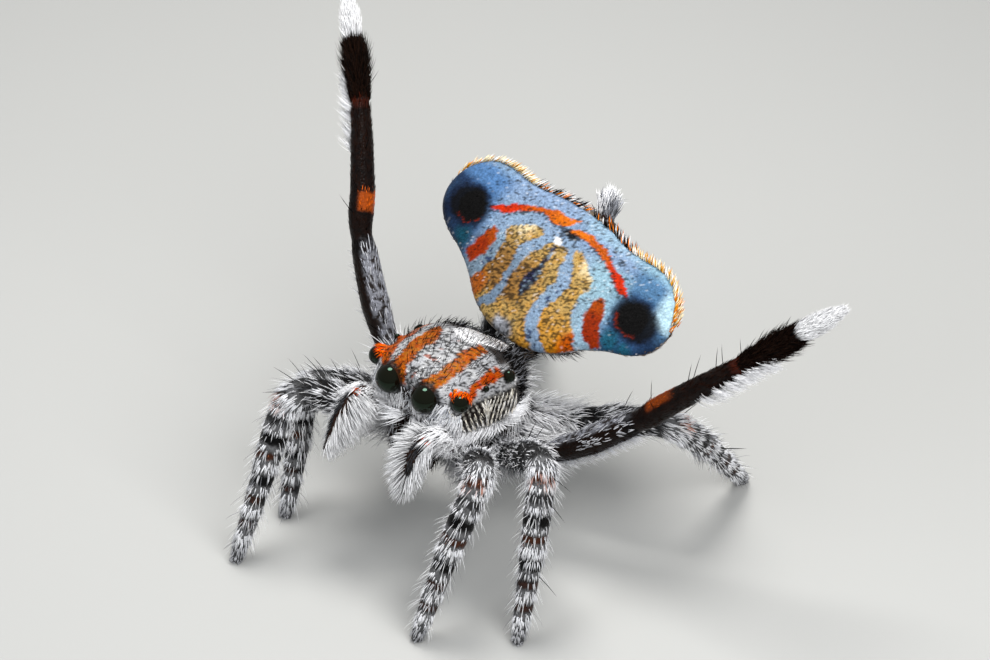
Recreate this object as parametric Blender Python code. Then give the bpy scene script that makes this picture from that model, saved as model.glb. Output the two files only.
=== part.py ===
"""A male peacock spider in display, life size: fan raised and third legs held up.

Lengths are written in millimetres and turned into metres once each mesh is whole.
The spider faces -Y, its own left is +X, and +Z is up from the ground.
"""

import math

import bmesh
import bpy
import numpy as np
from mathutils import Matrix, Vector

# Driving dimensions, in millimetres
METRES = 0.001
CENTRE = (0.1, 0.217, 0.0)
JOINT_GAP = 0.03
UP = np.array((0.0, 0.0, 1.0))

SHELL_MARGIN = 1.93
SHELL_SIDES = 24

UNDERSIDE_FRONT = -0.78
UNDERSIDE_BACK = 0.92
UNDERSIDE_WIDTH = 1.44
UNDERSIDE_DEPTH = 0.76
UNDERSIDE_SIDES = 18

MAIN_EYE = 0.22
SIDE_EYE = 0.13
REAR_EYE = 0.12
SMALL_EYE = 0.05
BALL_FACES = (12, 8)
SMALL_BALL_FACES = (8, 6)

FAN_CENTRE = np.array((0.0, 1.52, 3.19))
FAN_PITCH = math.radians(43.0)
FAN_YAW = math.radians(-4.4)
FAN_ROLL = math.radians(1.8)
FAN_THICKNESS = 0.4
LOBE_THICKNESS = 0.3
FAN_LEVEL = -0.12
FLAP_ROOT = 0.95

LEG_SIDES = 8
HAIR_SEED = 13
LOCK_FLATNESS = 0.5
LOCK_SIDES = 4
LOCK_DEPTH = 0.4
TURN_JITTER = 0.1

# Materials: colour, roughness and metallic value
FINISHES = {
    "body_scales": ((0.55, 0.53, 0.50), 0.75, 0.0),
    "fan_scales": ((0.16, 0.33, 0.62), 0.38, 0.15),
    "eye_gloss": ((0.012, 0.02, 0.014), 0.06, 0.0),
    "leg_hair": ((0.46, 0.44, 0.42), 0.8, 0.0),
    "dark_hair": ((0.035, 0.02, 0.014), 0.6, 0.0),
    "white_brush": ((0.82, 0.82, 0.80), 0.7, 0.0),
    "bare_shell": ((0.06, 0.03, 0.018), 0.3, 0.0),
}


# Curves and profiles
def unit(vector):
    return np.asarray(vector, float) / np.linalg.norm(vector)


def smooth(knots, values, at):
    """Values on a smooth curve through the given knots, by cubic pieces."""
    knots = np.asarray(knots, float)
    values = np.asarray(values, float)
    slopes = np.empty_like(values)
    slopes[0] = (values[1] - values[0]) / (knots[1] - knots[0])
    slopes[-1] = (values[-1] - values[-2]) / (knots[-1] - knots[-2])
    chords = knots[2:] - knots[:-2]
    slopes[1:-1] = (values[2:] - values[:-2]) / chords.reshape((-1,) + (1,) * (values.ndim - 1))
    at = np.clip(np.asarray(at, float), knots[0], knots[-1])
    index = np.clip(np.searchsorted(knots, at, side="right") - 1, 0, len(knots) - 2)
    span = knots[index + 1] - knots[index]
    t = (at - knots[index]) / span
    if values.ndim > 1:
        t = t[..., None]
        span = span[..., None]
    first = values[index] * (2 * t**3 - 3 * t**2 + 1) + slopes[index] * span * (t**3 - 2 * t**2 + t)
    second = values[index + 1] * (3 * t**2 - 2 * t**3) + slopes[index + 1] * span * (t**3 - t**2)
    return first + second


def spread(values, count):
    """The values drawn out smoothly and evenly to a count of them."""
    return smooth(np.linspace(0, 1, len(values)), values, np.linspace(0, 1, count))


def signed_power(value, power):
    return np.sign(value) * np.abs(value) ** power


def fan_axes():
    """Across the fan, up along it, and out of its face."""
    across = np.array((math.cos(FAN_YAW) * math.cos(FAN_ROLL), math.sin(FAN_YAW), -math.sin(FAN_ROLL)))
    across = unit(across)
    along = np.array((0.0, math.cos(FAN_PITCH), math.sin(FAN_PITCH)))
    along = unit(along - along.dot(across) * across)
    return across, along, np.cross(across, along)


FAN_ACROSS, FAN_ALONG, FAN_OUT = fan_axes()


def fan_point(across, along, out):
    return FAN_CENTRE + across * FAN_ACROSS + along * FAN_ALONG + out * FAN_OUT


# Meshes
def mesh_from(name, points, faces):
    mesh = bpy.data.meshes.new(name)
    mesh.from_pydata([tuple(p) for p in points], [], faces)
    work = bmesh.new()
    work.from_mesh(mesh)
    bmesh.ops.recalc_face_normals(work, faces=work.faces)
    work.to_mesh(mesh)
    work.free()
    return mesh


def skin(name, rings, start=None, end=None):
    """A closed triangle mesh over rings of points, each end drawn to one point."""
    rings = [np.asarray(ring, float) for ring in rings]
    sides = len(rings[0])
    points = np.concatenate(rings)
    start = rings[0].mean(axis=0) if start is None else start
    end = rings[-1].mean(axis=0) if end is None else end
    points = np.concatenate([points, [start], [end]])
    first = len(points) - 2
    last = len(points) - 1
    faces = []
    for row in range(len(rings) - 1):
        low = row * sides
        high = low + sides
        for side in range(sides):
            after = (side + 1) % sides
            faces.append((low + side, low + after, high + after))
            faces.append((low + side, high + after, high + side))
    tail = (len(rings) - 1) * sides
    for side in range(sides):
        after = (side + 1) % sides
        faces.append((first, after, side))
        faces.append((last, tail + side, tail + after))
    return mesh_from(name, points, faces)


def ball(name, centre, radius):
    """A round ball, its poles along Y so that the lens faces forward smoothly."""
    segments, rows = BALL_FACES if radius > SIDE_EYE + JOINT_GAP else SMALL_BALL_FACES
    rings = []
    for row in range(1, rows):
        polar = math.pi * row / rows
        angles = 2 * math.pi * np.arange(segments) / segments
        ring = np.stack(
            [
                math.sin(polar) * np.cos(angles),
                np.full(segments, -math.cos(polar)),
                math.sin(polar) * np.sin(angles),
            ],
            axis=1,
        )
        rings.append(np.asarray(centre) + radius * ring)
    front = np.asarray(centre) - radius * np.array((0.0, 1.0, 0.0))
    back = np.asarray(centre) + radius * np.array((0.0, 1.0, 0.0))
    return skin(name, rings, front, back)


def frames(path, reference):
    """At each point of a path: the way on, a side way near the reference, and the way over."""
    path = np.asarray(path, float)
    for centre, tangent in zip(path, np.gradient(path, axis=0)):
        forward = unit(tangent)
        side = unit(reference - reference.dot(forward) * forward)
        yield centre, forward, side, np.cross(side, forward)


def tube(name, path, radii, reference, tallness=1.0, sides=LEG_SIDES):
    """Rings square to a path, widened upwards by tallness about the reference side."""
    rings = []
    for (centre, _, side, over), radius in zip(frames(path, reference), radii):
        angles = 2 * math.pi * (np.arange(sides) + 0.5) / sides
        ring = radius * np.outer(np.cos(angles), side)
        ring = ring + radius * tallness * np.outer(np.sin(angles), over)
        rings.append(centre + ring)
    return skin(name, rings)


# Hair: flat tapered locks and thin round spines
LOCK_PROFILE = ((0.0, 0.75), (0.55, 1.0))
SPINE_PROFILE = ((0.0, 1.0),)
SPINE_SIDES = 3


def strand(root, start, end, length, wide, half_width, half_thickness, sink, profile, sides):
    """A closed tapering strand that leaves its root along start and bends round to end."""
    start = unit(start)
    bend = root + 0.5 * length * start
    tip = bend + 0.5 * length * unit(end)
    buried = root - sink * start
    rings = []
    for at, size in profile:
        centre = (1 - at) ** 2 * buried + 2 * at * (1 - at) * bend + at**2 * tip
        forward = unit((1 - at) * (bend - buried) + at * (tip - bend))
        across = unit(wide - wide.dot(forward) * forward)
        through = np.cross(forward, across)
        angles = 2 * math.pi * np.arange(sides) / sides
        ring = half_width * np.outer(np.cos(angles), across)
        ring = ring + half_thickness * np.outer(np.sin(angles), through)
        rings.append(centre + size * ring)
    return skin("strand", rings, end=tip)


def lock(root, start, end, length, wide, half_width, sink):
    half_thickness = LOCK_FLATNESS * half_width
    return strand(root, start, end, length, wide, half_width, half_thickness, sink, LOCK_PROFILE, LOCK_SIDES)


def spine(root, start, length, radius, sink):
    wide = np.cross(start, UP + 0.01)
    return strand(root, start, start, length, wide, radius, radius, sink, SPINE_PROFILE, SPINE_SIDES)


def hair_round(path, radii, reference, places, angles, length, half_width, lift, draw):
    """Locks set round a limb at each place along it, lifted off it and bending along it."""
    path = np.asarray(path, float)
    measure = np.linspace(0, 1, len(path))
    stations = list(frames(path, reference))
    locks = []
    for row, place in enumerate(places):
        nearest = int(round(place * (len(path) - 1)))
        _, forward, side, over = stations[nearest]
        centre = smooth(measure, path, place)
        radius = float(smooth(measure, np.asarray(radii, float), place))
        for angle in angles(row):
            angle = angle + draw.uniform(-TURN_JITTER, TURN_JITTER)
            outward = math.cos(angle) * side + math.sin(angle) * over
            start = math.cos(lift) * forward + math.sin(lift) * outward
            end = math.cos(0.5 * lift) * forward + math.sin(0.5 * lift) * outward
            reach = length * draw.uniform(0.85, 1.12)
            root = centre + 0.85 * radius * outward
            sink = LOCK_DEPTH * radius
            locks.append(lock(root, start, end, reach, np.cross(forward, outward), half_width, sink))
    return locks


def ring_angles(count):
    """Even angles round a limb, each row turned half a step from the last."""
    return lambda row: 2 * math.pi * (np.arange(count) + 0.5 * (row % 2)) / count


# Boolean work
def boolean(mesh, others, operation):
    """The mesh joined with, or cut by, the other meshes, which are used up."""
    target = bpy.data.objects.new("target", mesh)
    bpy.context.scene.collection.objects.link(target)
    group = bpy.data.collections.new("others")
    bpy.context.scene.collection.children.link(group)
    for other in others:
        group.objects.link(bpy.data.objects.new("other", other))
    modifier = target.modifiers.new("combine", "BOOLEAN")
    modifier.operation = operation
    modifier.operand_type = "COLLECTION"
    modifier.collection = group
    modifier.solver = "EXACT"
    evaluated = target.evaluated_get(bpy.context.evaluated_depsgraph_get())
    result = bpy.data.meshes.new_from_object(evaluated)
    for used in [target, *group.objects]:
        bpy.data.objects.remove(used)
    bpy.data.collections.remove(group)
    return keep_largest(result)


def keep_largest(mesh):
    """Only the largest closed surface of the mesh, as triangles."""
    work = bmesh.new()
    work.from_mesh(mesh)
    bmesh.ops.triangulate(work, faces=work.faces)
    seen = set()
    groups = []
    for seed in work.verts:
        if seed in seen:
            continue
        group = []
        waiting = [seed]
        seen.add(seed)
        while waiting:
            vertex = waiting.pop()
            group.append(vertex)
            for edge in vertex.link_edges:
                other = edge.other_vert(vertex)
                if other not in seen:
                    seen.add(other)
                    waiting.append(other)
        groups.append(group)
    groups.sort(key=len)
    for group in groups[:-1]:
        bmesh.ops.delete(work, geom=group, context="VERTS")
    work.to_mesh(mesh)
    work.free()
    return mesh


def cut_below(mesh, level):
    """The mesh with all below the level removed and a flat face left there."""
    work = bmesh.new()
    work.from_mesh(mesh)
    geometry = [*work.verts, *work.edges, *work.faces]
    cut = bmesh.ops.bisect_plane(
        work,
        geom=geometry,
        dist=1e-6,
        plane_co=(0.0, 0.0, level),
        plane_no=(0.0, 0.0, 1.0),
        clear_inner=True,
    )
    rim = [item for item in cut["geom_cut"] if isinstance(item, bmesh.types.BMEdge)]
    bmesh.ops.contextual_create(work, geom=rim)
    bmesh.ops.triangulate(work, faces=work.faces)
    bmesh.ops.recalc_face_normals(work, faces=work.faces)
    work.to_mesh(mesh)
    work.free()
    return mesh


# Finished objects
def material(slot):
    found = bpy.data.materials.get(slot)
    if found:
        return found
    colour, roughness, metallic = FINISHES[slot]
    made = bpy.data.materials.new(slot)
    made.use_nodes = True
    shader = made.node_tree.nodes["Principled BSDF"]
    shader.inputs["Base Color"].default_value = (*colour, 1.0)
    shader.inputs["Roughness"].default_value = roughness
    shader.inputs["Metallic"].default_value = metallic
    return made


def finish(name, mesh, slot, pivot, stand):
    """An object of its own, in metres, with its origin where it grows from."""
    mesh.name = name
    pivot = Vector(pivot)
    mesh.transform(Matrix.Scale(METRES, 4) @ Matrix.Translation(-pivot))
    mesh.materials.clear()
    mesh.materials.append(material(slot))
    mesh.shade_smooth()
    mesh.set_sharp_from_angle(angle=math.radians(40.0))
    made = bpy.data.objects.new(name, mesh)
    bpy.context.scene.collection.objects.link(made)
    made.location = METRES * (pivot - Vector(CENTRE))
    made.parent = stand
    return made


# Head and thorax shell
SHELL_SECTIONS = (
    # Place along Y, half width, top, widest level and bottom
    (-1.15, 0.42, 2.68, 2.50, 2.26),
    (-1.11, 0.60, 2.81, 2.48, 2.14),
    (-1.00, 0.75, 2.90, 2.44, 2.02),
    (-0.80, 0.83, 2.97, 2.38, 1.92),
    (-0.45, 0.87, 3.01, 2.30, 1.85),
    (-0.10, 0.88, 2.96, 2.25, 1.82),
    (0.15, 0.80, 2.82, 2.20, 1.82),
    (0.40, 0.60, 2.61, 2.15, 1.82),
    (0.60, 0.41, 2.45, 2.12, 1.84),
    (0.75, 0.26, 2.30, 2.08, 1.86),
    (0.84, 0.11, 2.16, 2.04, 1.90),
)
SHELL_CROWN = 2.25
SHELL_SKIRT = 3.0
SHELL_ROWS = 14
MARGIN_LOCKS = 7
MARGIN_HAIR_LEVEL = 2.03
MARGIN_HAIR_LENGTH = 0.32
MARGIN_HAIR_HALF_WIDTH = 0.07


def shell_mesh(grow=0.0):
    """The carapace as cross sections along Y, boxy in front and sloping behind."""
    sections = np.array(SHELL_SECTIONS)
    measure = np.linspace(0, 1, len(sections))
    rings = []
    for at in np.linspace(0, 1, SHELL_ROWS):
        place, half, top, middle, bottom = smooth(measure, sections, at)
        place = place + grow * (2 * at - 1)
        half = half + grow
        angles = 2 * math.pi * (np.arange(SHELL_SIDES) + 0.5) / SHELL_SIDES
        upper = np.sin(angles) > 0
        power = np.where(upper, 2 / SHELL_CROWN, 2 / SHELL_SKIRT)
        reach = np.where(upper, top - middle, middle - bottom) + grow
        x = half * signed_power(np.cos(angles), power)
        z = middle + reach * signed_power(np.sin(angles), power)
        rings.append(np.stack([x, np.full(SHELL_SIDES, place), z], axis=1))
    return skin("shell", rings)


EYES = {
    "eye_main": ((0.30, -1.12, 2.60), MAIN_EYE),
    "eye_side": ((0.74, -0.90, 2.62), SIDE_EYE),
    "eye_small": ((0.80, -0.50, 2.66), SMALL_EYE),
    "eye_rear": ((0.79, -0.08, 2.67), REAR_EYE),
}
SIDES = {"left": 1.0, "right": -1.0}


def eye_places():
    for kind, (centre, radius) in EYES.items():
        for word, sign in SIDES.items():
            yield f"{kind}_{word}", (sign * centre[0], centre[1], centre[2]), radius


def margin_hair(draw):
    """White locks lying back along the shell's lower margin on both sides."""
    sections = np.array(SHELL_SECTIONS)
    hair = []
    for sign in SIDES.values():
        for place in np.linspace(-0.95, 0.35, MARGIN_LOCKS):
            half = float(smooth(sections[:, 0], sections[:, 1], place))
            ahead = float(smooth(sections[:, 0], sections[:, 1], place + MARGIN_HAIR_LENGTH))
            root = np.array((sign * 0.95 * half, place, MARGIN_HAIR_LEVEL + draw.uniform(-0.03, 0.03)))
            along = unit((sign * (ahead - half), MARGIN_HAIR_LENGTH, 0.0))
            start = unit(along + np.array((0.5 * sign, 0.0, -0.1)))
            hair.append(lock(root, start, along, MARGIN_HAIR_LENGTH, UP, MARGIN_HAIR_HALF_WIDTH, 0.08))
    return hair


def make_shell(stand, draw):
    mesh = boolean(shell_mesh(), margin_hair(draw), "UNION")
    mesh = cut_below(mesh, SHELL_MARGIN)
    sockets = [ball("socket", centre, radius + JOINT_GAP) for _, centre, radius in eye_places()]
    mesh = boolean(mesh, sockets, "DIFFERENCE")
    finish("carapace", mesh, "body_scales", (0.0, 0.0, SHELL_MARGIN), stand)
    for name, centre, radius in eye_places():
        finish(name, ball(name, centre, radius), "eye_gloss", centre, stand)


# Underside of the body, which the legs grow from
UNDERSIDE_STATIONS = (0.0, 0.06, 0.2, 0.45, 0.7, 0.9, 1.0)
UNDERSIDE_FULLNESS = (0.45, 0.68, 0.88, 0.98, 0.78, 0.5, 0.28)
UNDERSIDE_SINK = (0.55, 0.78, 0.95, 1.0, 0.95, 0.75, 0.5)
UNDERSIDE_POWER = 2.4


def underside_mesh(grow=0.0):
    """The lower half of a flattened egg, its flat top just under the shell."""
    top = SHELL_MARGIN - JOINT_GAP + grow
    length = UNDERSIDE_BACK - UNDERSIDE_FRONT
    rings = []
    for at in np.linspace(0, 1, 10):
        half = smooth(UNDERSIDE_STATIONS, UNDERSIDE_FULLNESS, at) * UNDERSIDE_WIDTH / 2 + grow
        depth = smooth(UNDERSIDE_STATIONS, UNDERSIDE_SINK, at) * UNDERSIDE_DEPTH + 2 * grow
        angles = math.pi * np.linspace(0, 1, UNDERSIDE_SIDES)
        x = half * signed_power(np.cos(angles), 2 / UNDERSIDE_POWER)
        z = top - depth * signed_power(np.sin(angles), 2 / UNDERSIDE_POWER)
        y = UNDERSIDE_FRONT - grow + at * (length + 2 * grow)
        rings.append(np.stack([x, np.full(UNDERSIDE_SIDES, y), z], axis=1))
    return skin("underside", rings)


# Legs: where each one leaves the body, bends and ends, in millimetres
LEGS = {
    "leg1_left": (
        (0.34, -0.55, 1.52),
        (0.86, -0.84, 1.62),
        (1.36, -1.20, 2.10),
        (1.53, -1.42, 2.04),
        (1.47, -1.98, 1.0),
        (1.43, -2.45, 0.0),
    ),
    "leg2_left": (
        (0.34, -0.16, 1.50),
        (0.96, -0.32, 1.60),
        (1.85, -0.62, 2.13),
        (2.05, -0.78, 2.05),
        (2.26, -1.20, 1.0),
        (2.41, -1.59, 0.0),
    ),
    "leg3_left": (
        (0.34, 0.24, 1.50),
        (1.05, 0.32, 1.34),
        (2.20, 0.87, 2.13),
        (2.50, 1.06, 2.44),
        (3.36, 1.52, 3.28),
        (4.50, 2.15, 4.42),
    ),
    "leg4_left": (
        (0.25, 0.58, 1.50),
        (0.92, 0.92, 1.46),
        (2.03, 1.36, 1.74),
        (2.26, 1.54, 1.68),
        (2.26, 2.22, 0.92),
        (2.20, 2.92, 0.0),
    ),
    "leg1_right": (
        (-0.34, -0.55, 1.52),
        (-0.82, -0.96, 1.66),
        (-1.28, -1.64, 2.15),
        (-1.44, -1.88, 2.0),
        (-1.42, -2.38, 1.06),
        (-1.39, -2.92, 0.0),
    ),
    "leg2_right": (
        (-0.34, -0.16, 1.50),
        (-0.94, -0.40, 1.58),
        (-1.60, -1.0, 1.76),
        (-1.77, -1.18, 1.66),
        (-1.68, -1.5, 0.85),
        (-1.58, -1.82, 0.0),
    ),
    "leg3_right": (
        (-0.34, 0.22, 1.50),
        (-1.22, -0.06, 1.76),
        (-2.35, 0.42, 2.96),
        (-2.69, 0.78, 3.43),
        (-3.30, 1.36, 4.2),
        (-4.19, 2.03, 5.12),
    ),
    "leg4_right": (
        (-0.25, 0.58, 1.50),
        (-0.78, 1.02, 1.46),
        (-1.14, 2.04, 1.76),
        (-1.28, 2.25, 1.70),
        (-1.64, 2.84, 0.88),
        (-1.95, 3.35, 0.0),
    ),
}
# Each segment: the points it runs between, its rings, and its radii from root to end
SEGMENTS = {
    "coxa": (0, 1, 5, (0.20, 0.21, 0.19)),
    "femur": (1, 2, 7, (0.19, 0.25, 0.26, 0.22)),
    "shin": (2, 4, 9, (0.215, 0.24, 0.24, 0.235, 0.19)),
    "foot": (4, 5, 6, (0.185, 0.175, 0.155, 0.135)),
}
RAISED_SEGMENTS = {
    "coxa": (0, 1, 5, (0.20, 0.20, 0.18)),
    "femur": (1, 2, 7, (0.18, 0.215, 0.215, 0.18)),
    "shin": (2, 4, 9, (0.19, 0.20, 0.185, 0.175, 0.16)),
    "foot": (4, 5, 9, (0.15, 0.12, 0.11, 0.08, 0.03)),
}
DARK_SEGMENTS = ("shin", "foot")
FEMUR_TALLNESS = 1.1
FOOT_SINK = 0.2
SPINE_RADIUS = 0.028
SPINE_LENGTH = 0.34
# Where spines stand on a segment: place along it and angle round it from the front, in degrees
SPINES = {
    "femur": ((0.35, 100), (0.6, 80), (0.85, 110)),
    "shin": ((0.2, 95), (0.55, 150), (0.6, 30), (0.85, 90)),
    "foot": ((0.45, 165), (0.45, 15)),
}
TUFT_PLACES = {"shin": (0.88,)}
TUFTS_ROUND = 4
TUFT_LENGTH = 0.26
TUFT_HALF_WIDTH = 0.06
TUFT_LIFT = math.radians(35.0)
BRUSH_PLACES = np.linspace(0.27, 0.6, 4)
BRUSH_ROUND = 5
BRUSH_LENGTH = 0.34
BRUSH_HALF_WIDTH = 0.075
BRUSH_LIFT = math.radians(42.0)
TIP_PLACES = (0.7, 0.8)
TIP_ROUND = 4
TIP_LENGTH = 0.42
TIP_LIFT = math.radians(24.0)
FRINGE_PLACES = {"shin": np.linspace(0.5, 0.95, 5), "foot": np.linspace(0.06, 0.3, 3)}
FRINGE_ANGLE = math.radians(-50.0)
FRINGE_LENGTH = 0.34
FRINGE_HALF_WIDTH = 0.055
FRINGE_LIFT = math.radians(62.0)


def leg_hair(part, raised, front, path, radii, reference, draw):
    """The spines and locks that stand on one segment; front is 1 where its side way faces forward."""
    hair = []
    measure = np.linspace(0, 1, len(path))
    stations = list(frames(path, reference))
    for place, degrees in SPINES.get(part, ()) if not (raised and part == "foot") else ():
        _, forward, side, over = stations[int(round(place * (len(path) - 1)))]
        angle = math.radians(degrees)
        outward = front * math.cos(angle) * side + math.sin(angle) * over
        radius = float(smooth(measure, np.asarray(radii, float), place))
        root = smooth(measure, np.asarray(path), place) + 0.9 * radius * outward
        start = unit(outward + 0.35 * forward)
        hair.append(spine(root, start, SPINE_LENGTH * draw.uniform(0.8, 1.1), SPINE_RADIUS, 0.5 * radius))
    if not raised and part in TUFT_PLACES:
        hair += hair_round(
            path, radii, reference, TUFT_PLACES[part], ring_angles(TUFTS_ROUND),
            TUFT_LENGTH, TUFT_HALF_WIDTH, TUFT_LIFT, draw,
        )
    if raised and part == "foot":
        hair += hair_round(
            path, radii, reference, BRUSH_PLACES, ring_angles(BRUSH_ROUND),
            BRUSH_LENGTH, BRUSH_HALF_WIDTH, BRUSH_LIFT, draw,
        )
        hair += hair_round(
            path, radii, reference, TIP_PLACES, ring_angles(TIP_ROUND),
            TIP_LENGTH, BRUSH_HALF_WIDTH, TIP_LIFT, draw,
        )
    if raised and part in FRINGE_PLACES:
        angle = FRINGE_ANGLE if front > 0 else math.pi - FRINGE_ANGLE
        hair += hair_round(
            path, radii, reference, FRINGE_PLACES[part], lambda row: (angle,),
            FRINGE_LENGTH, FRINGE_HALF_WIDTH, FRINGE_LIFT, draw,
        )
    return hair


def make_leg(name, points, stand, draw):
    """Four segments cut square from one smooth path, the coxa cut clear of the body."""
    points = np.asarray(points, float)
    raised = name.startswith("leg3")
    steps = np.linalg.norm(np.diff(points, axis=0), axis=1)
    knots = np.concatenate([[0.0], np.cumsum(steps)])
    outward = points[-1] - points[0]
    reference = unit(np.cross(outward, UP))
    front = 1.0 if reference[1] < 0 else -1.0
    for part, (first, last, count, profile) in (RAISED_SEGMENTS if raised else SEGMENTS).items():
        on_floor = part == "foot" and not raised
        low = knots[first] + (JOINT_GAP / 2 if first else 0.0)
        high = knots[last] - (0.0 if part == "foot" else JOINT_GAP / 2)
        path = smooth(knots, points, np.linspace(low, high, count))
        radii = spread(profile, count)
        hair = leg_hair(part, raised, front, path, radii, reference, draw)
        if on_floor:
            path = np.concatenate([path, [path[-1] + FOOT_SINK * unit(path[-1] - path[-2])]])
            radii = np.append(radii, radii[-1])
        tallness = FEMUR_TALLNESS if part == "femur" and not raised else 1.0
        mesh = tube(f"{name}_{part}", path, radii, reference, tallness)
        if hair:
            mesh = boolean(mesh, hair, "UNION")
        if on_floor:
            mesh = cut_below(mesh, 0.0)
        if part == "coxa":
            mesh = boolean(mesh, [underside_mesh(JOINT_GAP)], "DIFFERENCE")
        slot = "dark_hair" if raised and part in DARK_SEGMENTS else "leg_hair"
        finish(f"{name}_{part}", mesh, slot, points[first], stand)


# Jaws and palps
JAW_PATH = ((0.225, -0.95, 2.2), (0.225, -0.98, 1.95), (0.22, -1.0, 1.65), (0.2, -0.98, 1.36))
JAW_RADII = (0.17, 0.18, 0.165, 0.1)
JAW_RINGS = 8
PALPS = {
    "left": (
        (0.55, -0.72, 1.66),
        (0.66, -0.98, 1.92),
        (0.62, -1.27, 2.24),
        (0.48, -1.50, 2.02),
        (0.44, -1.66, 1.40),
    ),
    "right": (
        (-0.55, -0.72, 1.66),
        (-0.66, -0.98, 1.92),
        (-0.66, -1.27, 2.26),
        (-0.70, -1.50, 2.10),
        (-0.76, -1.86, 1.58),
    ),
}
PALP_RADII = (0.11, 0.13, 0.135, 0.13)
PALP_CORE = (0.12, 0.15, 0.15, 0.13, 0.08)
PALP_BRUSH_START = 0.2
PALP_HAIR_PLACES = (0.08, 0.36, 0.64, 0.92)
PALP_HAIR_ANGLES = np.radians((10.0, -38.0, -90.0, -142.0, -190.0))
PALP_HAIR_LENGTH = 0.4
PALP_HAIR_HALF_WIDTH = 0.085
PALP_HAIR_LIFT = math.radians(44.0)
PALP_SIDES = 8
PALP_RINGS = 7
PALP_CORE_END = 0.15


def make_jaws(stand):
    path = spread(JAW_PATH, JAW_RINGS)
    radii = spread(JAW_RADII, JAW_RINGS)
    for word, sign in SIDES.items():
        mirrored = path * (sign, 1.0, 1.0)
        mesh = tube("jaw", mirrored, radii, np.array((1.0, 0.0, 0.0)))
        mesh = boolean(mesh, [shell_mesh(JOINT_GAP)], "DIFFERENCE")
        mesh = boolean(mesh, [underside_mesh(JOINT_GAP)], "DIFFERENCE")
        finish(f"chelicera_{word}", mesh, "body_scales", mirrored[0], stand)


def make_palps(stand, draw):
    """Each palp: an arm up to its knee, then a short limb buried in its hair brush."""
    for word, points in PALPS.items():
        points = np.asarray(points, float)
        steps = np.linalg.norm(np.diff(points, axis=0), axis=1)
        knots = np.concatenate([[0.0], np.cumsum(steps)])
        reference = unit(np.cross(points[-1] - points[0], UP))
        split = knots[2] + PALP_BRUSH_START * steps[2]
        path = smooth(knots, points, np.linspace(0, split - JOINT_GAP / 2, PALP_RINGS))
        radii = spread(PALP_RADII, PALP_RINGS)
        mesh = tube("palp", path, radii, reference, sides=PALP_SIDES)
        mesh = boolean(mesh, [underside_mesh(JOINT_GAP)], "DIFFERENCE")
        finish(f"palp_{word}", mesh, "body_scales", points[0], stand)
        along = np.linspace(split + JOINT_GAP / 2, knots[-1] - PALP_CORE_END, PALP_RINGS)
        path = smooth(knots, points, along)
        radii = spread(PALP_CORE, PALP_RINGS)
        hair = hair_round(
            path, radii, reference, PALP_HAIR_PLACES, lambda row: PALP_HAIR_ANGLES,
            PALP_HAIR_LENGTH, PALP_HAIR_HALF_WIDTH, PALP_HAIR_LIFT, draw,
        )
        mesh = boolean(tube("brush", path, radii, reference, sides=PALP_SIDES), hair, "UNION")
        finish(f"palp_brush_{word}", mesh, "white_brush", path[0], stand)


# Abdomen, fan and spinnerets
FAN_OUTLINE = (
    (0.0, -1.16, 0.83),
    (0.3, -1.14, 0.83),
    (0.6, -1.05, 0.79),
    (0.8, -0.95, 0.75),
    (1.1, -0.73, 0.74),
    (1.42, -0.56, 0.76),
    (1.70, -0.46, 0.70),
    (1.92, -0.33, 0.54),
    (2.06, -0.16, 0.33),
    (2.12, 0.05, 0.09),
)
FAN_SIDES = 20
FAN_EDGE = 0.16
FAN_TAPER = 0.9
FAN_ROUNDING = 0.8
RIM_HAIR_LENGTH = 0.17
RIM_HAIR_RADIUS = 0.03
RIM_HAIR_SINK = 0.08
RIM_MIDDLE = (0.35, 0.6, 0.85)
ABDOMEN_LENGTH = 1.94
ABDOMEN_MIDDLE = -0.09
ABDOMEN_WIDTH = 1.66
ABDOMEN_DEPTH = 1.08
ABDOMEN_SIDES = 16
ABDOMEN_LEVELS = (-0.56, -0.66, -0.66, -0.58, -0.42)
PEDICEL = ((0.0, 0.97, 1.96), (0.0, 1.2, 2.06), (0.0, 1.5, 2.3))
PEDICEL_RADIUS = 0.14
SPINNERET_ROOT = (0.92, -0.40)
SPINNERET_TIP = (1.08, -0.32)
SPINNERET_TUFTS = 5
SPINNERET_HAIR_LENGTH = 0.2
SPINNERET_HAIR_HALF_WIDTH = 0.06
SPINNERET_HAIR_LIFT = math.radians(30.0)


def fan_ring(distance, sign):
    """The fan's section at one distance from its middle: front, rounded edge, back."""
    outline = np.asarray(FAN_OUTLINE)
    across, low, high = smooth(np.linspace(0, 1, len(outline)), outline, distance)
    angles = 2 * math.pi * (np.arange(FAN_SIDES) + 0.5) / FAN_SIDES
    along = (low + high) / 2 + (high - low) / 2 * signed_power(np.cos(angles), FAN_ROUNDING)
    blend = 1 / (1 + (across / FLAP_ROOT) ** 4)
    thickness = LOBE_THICKNESS + (FAN_THICKNESS - LOBE_THICKNESS) * blend
    half = thickness / 2 * min(1.0, FAN_EDGE + (high - low) / FAN_TAPER)
    out = FAN_LEVEL + half * signed_power(np.sin(angles), FAN_ROUNDING)
    return np.array([fan_point(sign * across, v, h) for v, h in zip(along, out)])


def fan_reach(across):
    """The place along the outline's own measure that lies at a distance across the fan."""
    outline = np.asarray(FAN_OUTLINE)
    samples = np.linspace(0, 1, 400)
    return float(np.interp(across, smooth(np.linspace(0, 1, len(outline)), outline[:, 0], samples), samples))


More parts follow.
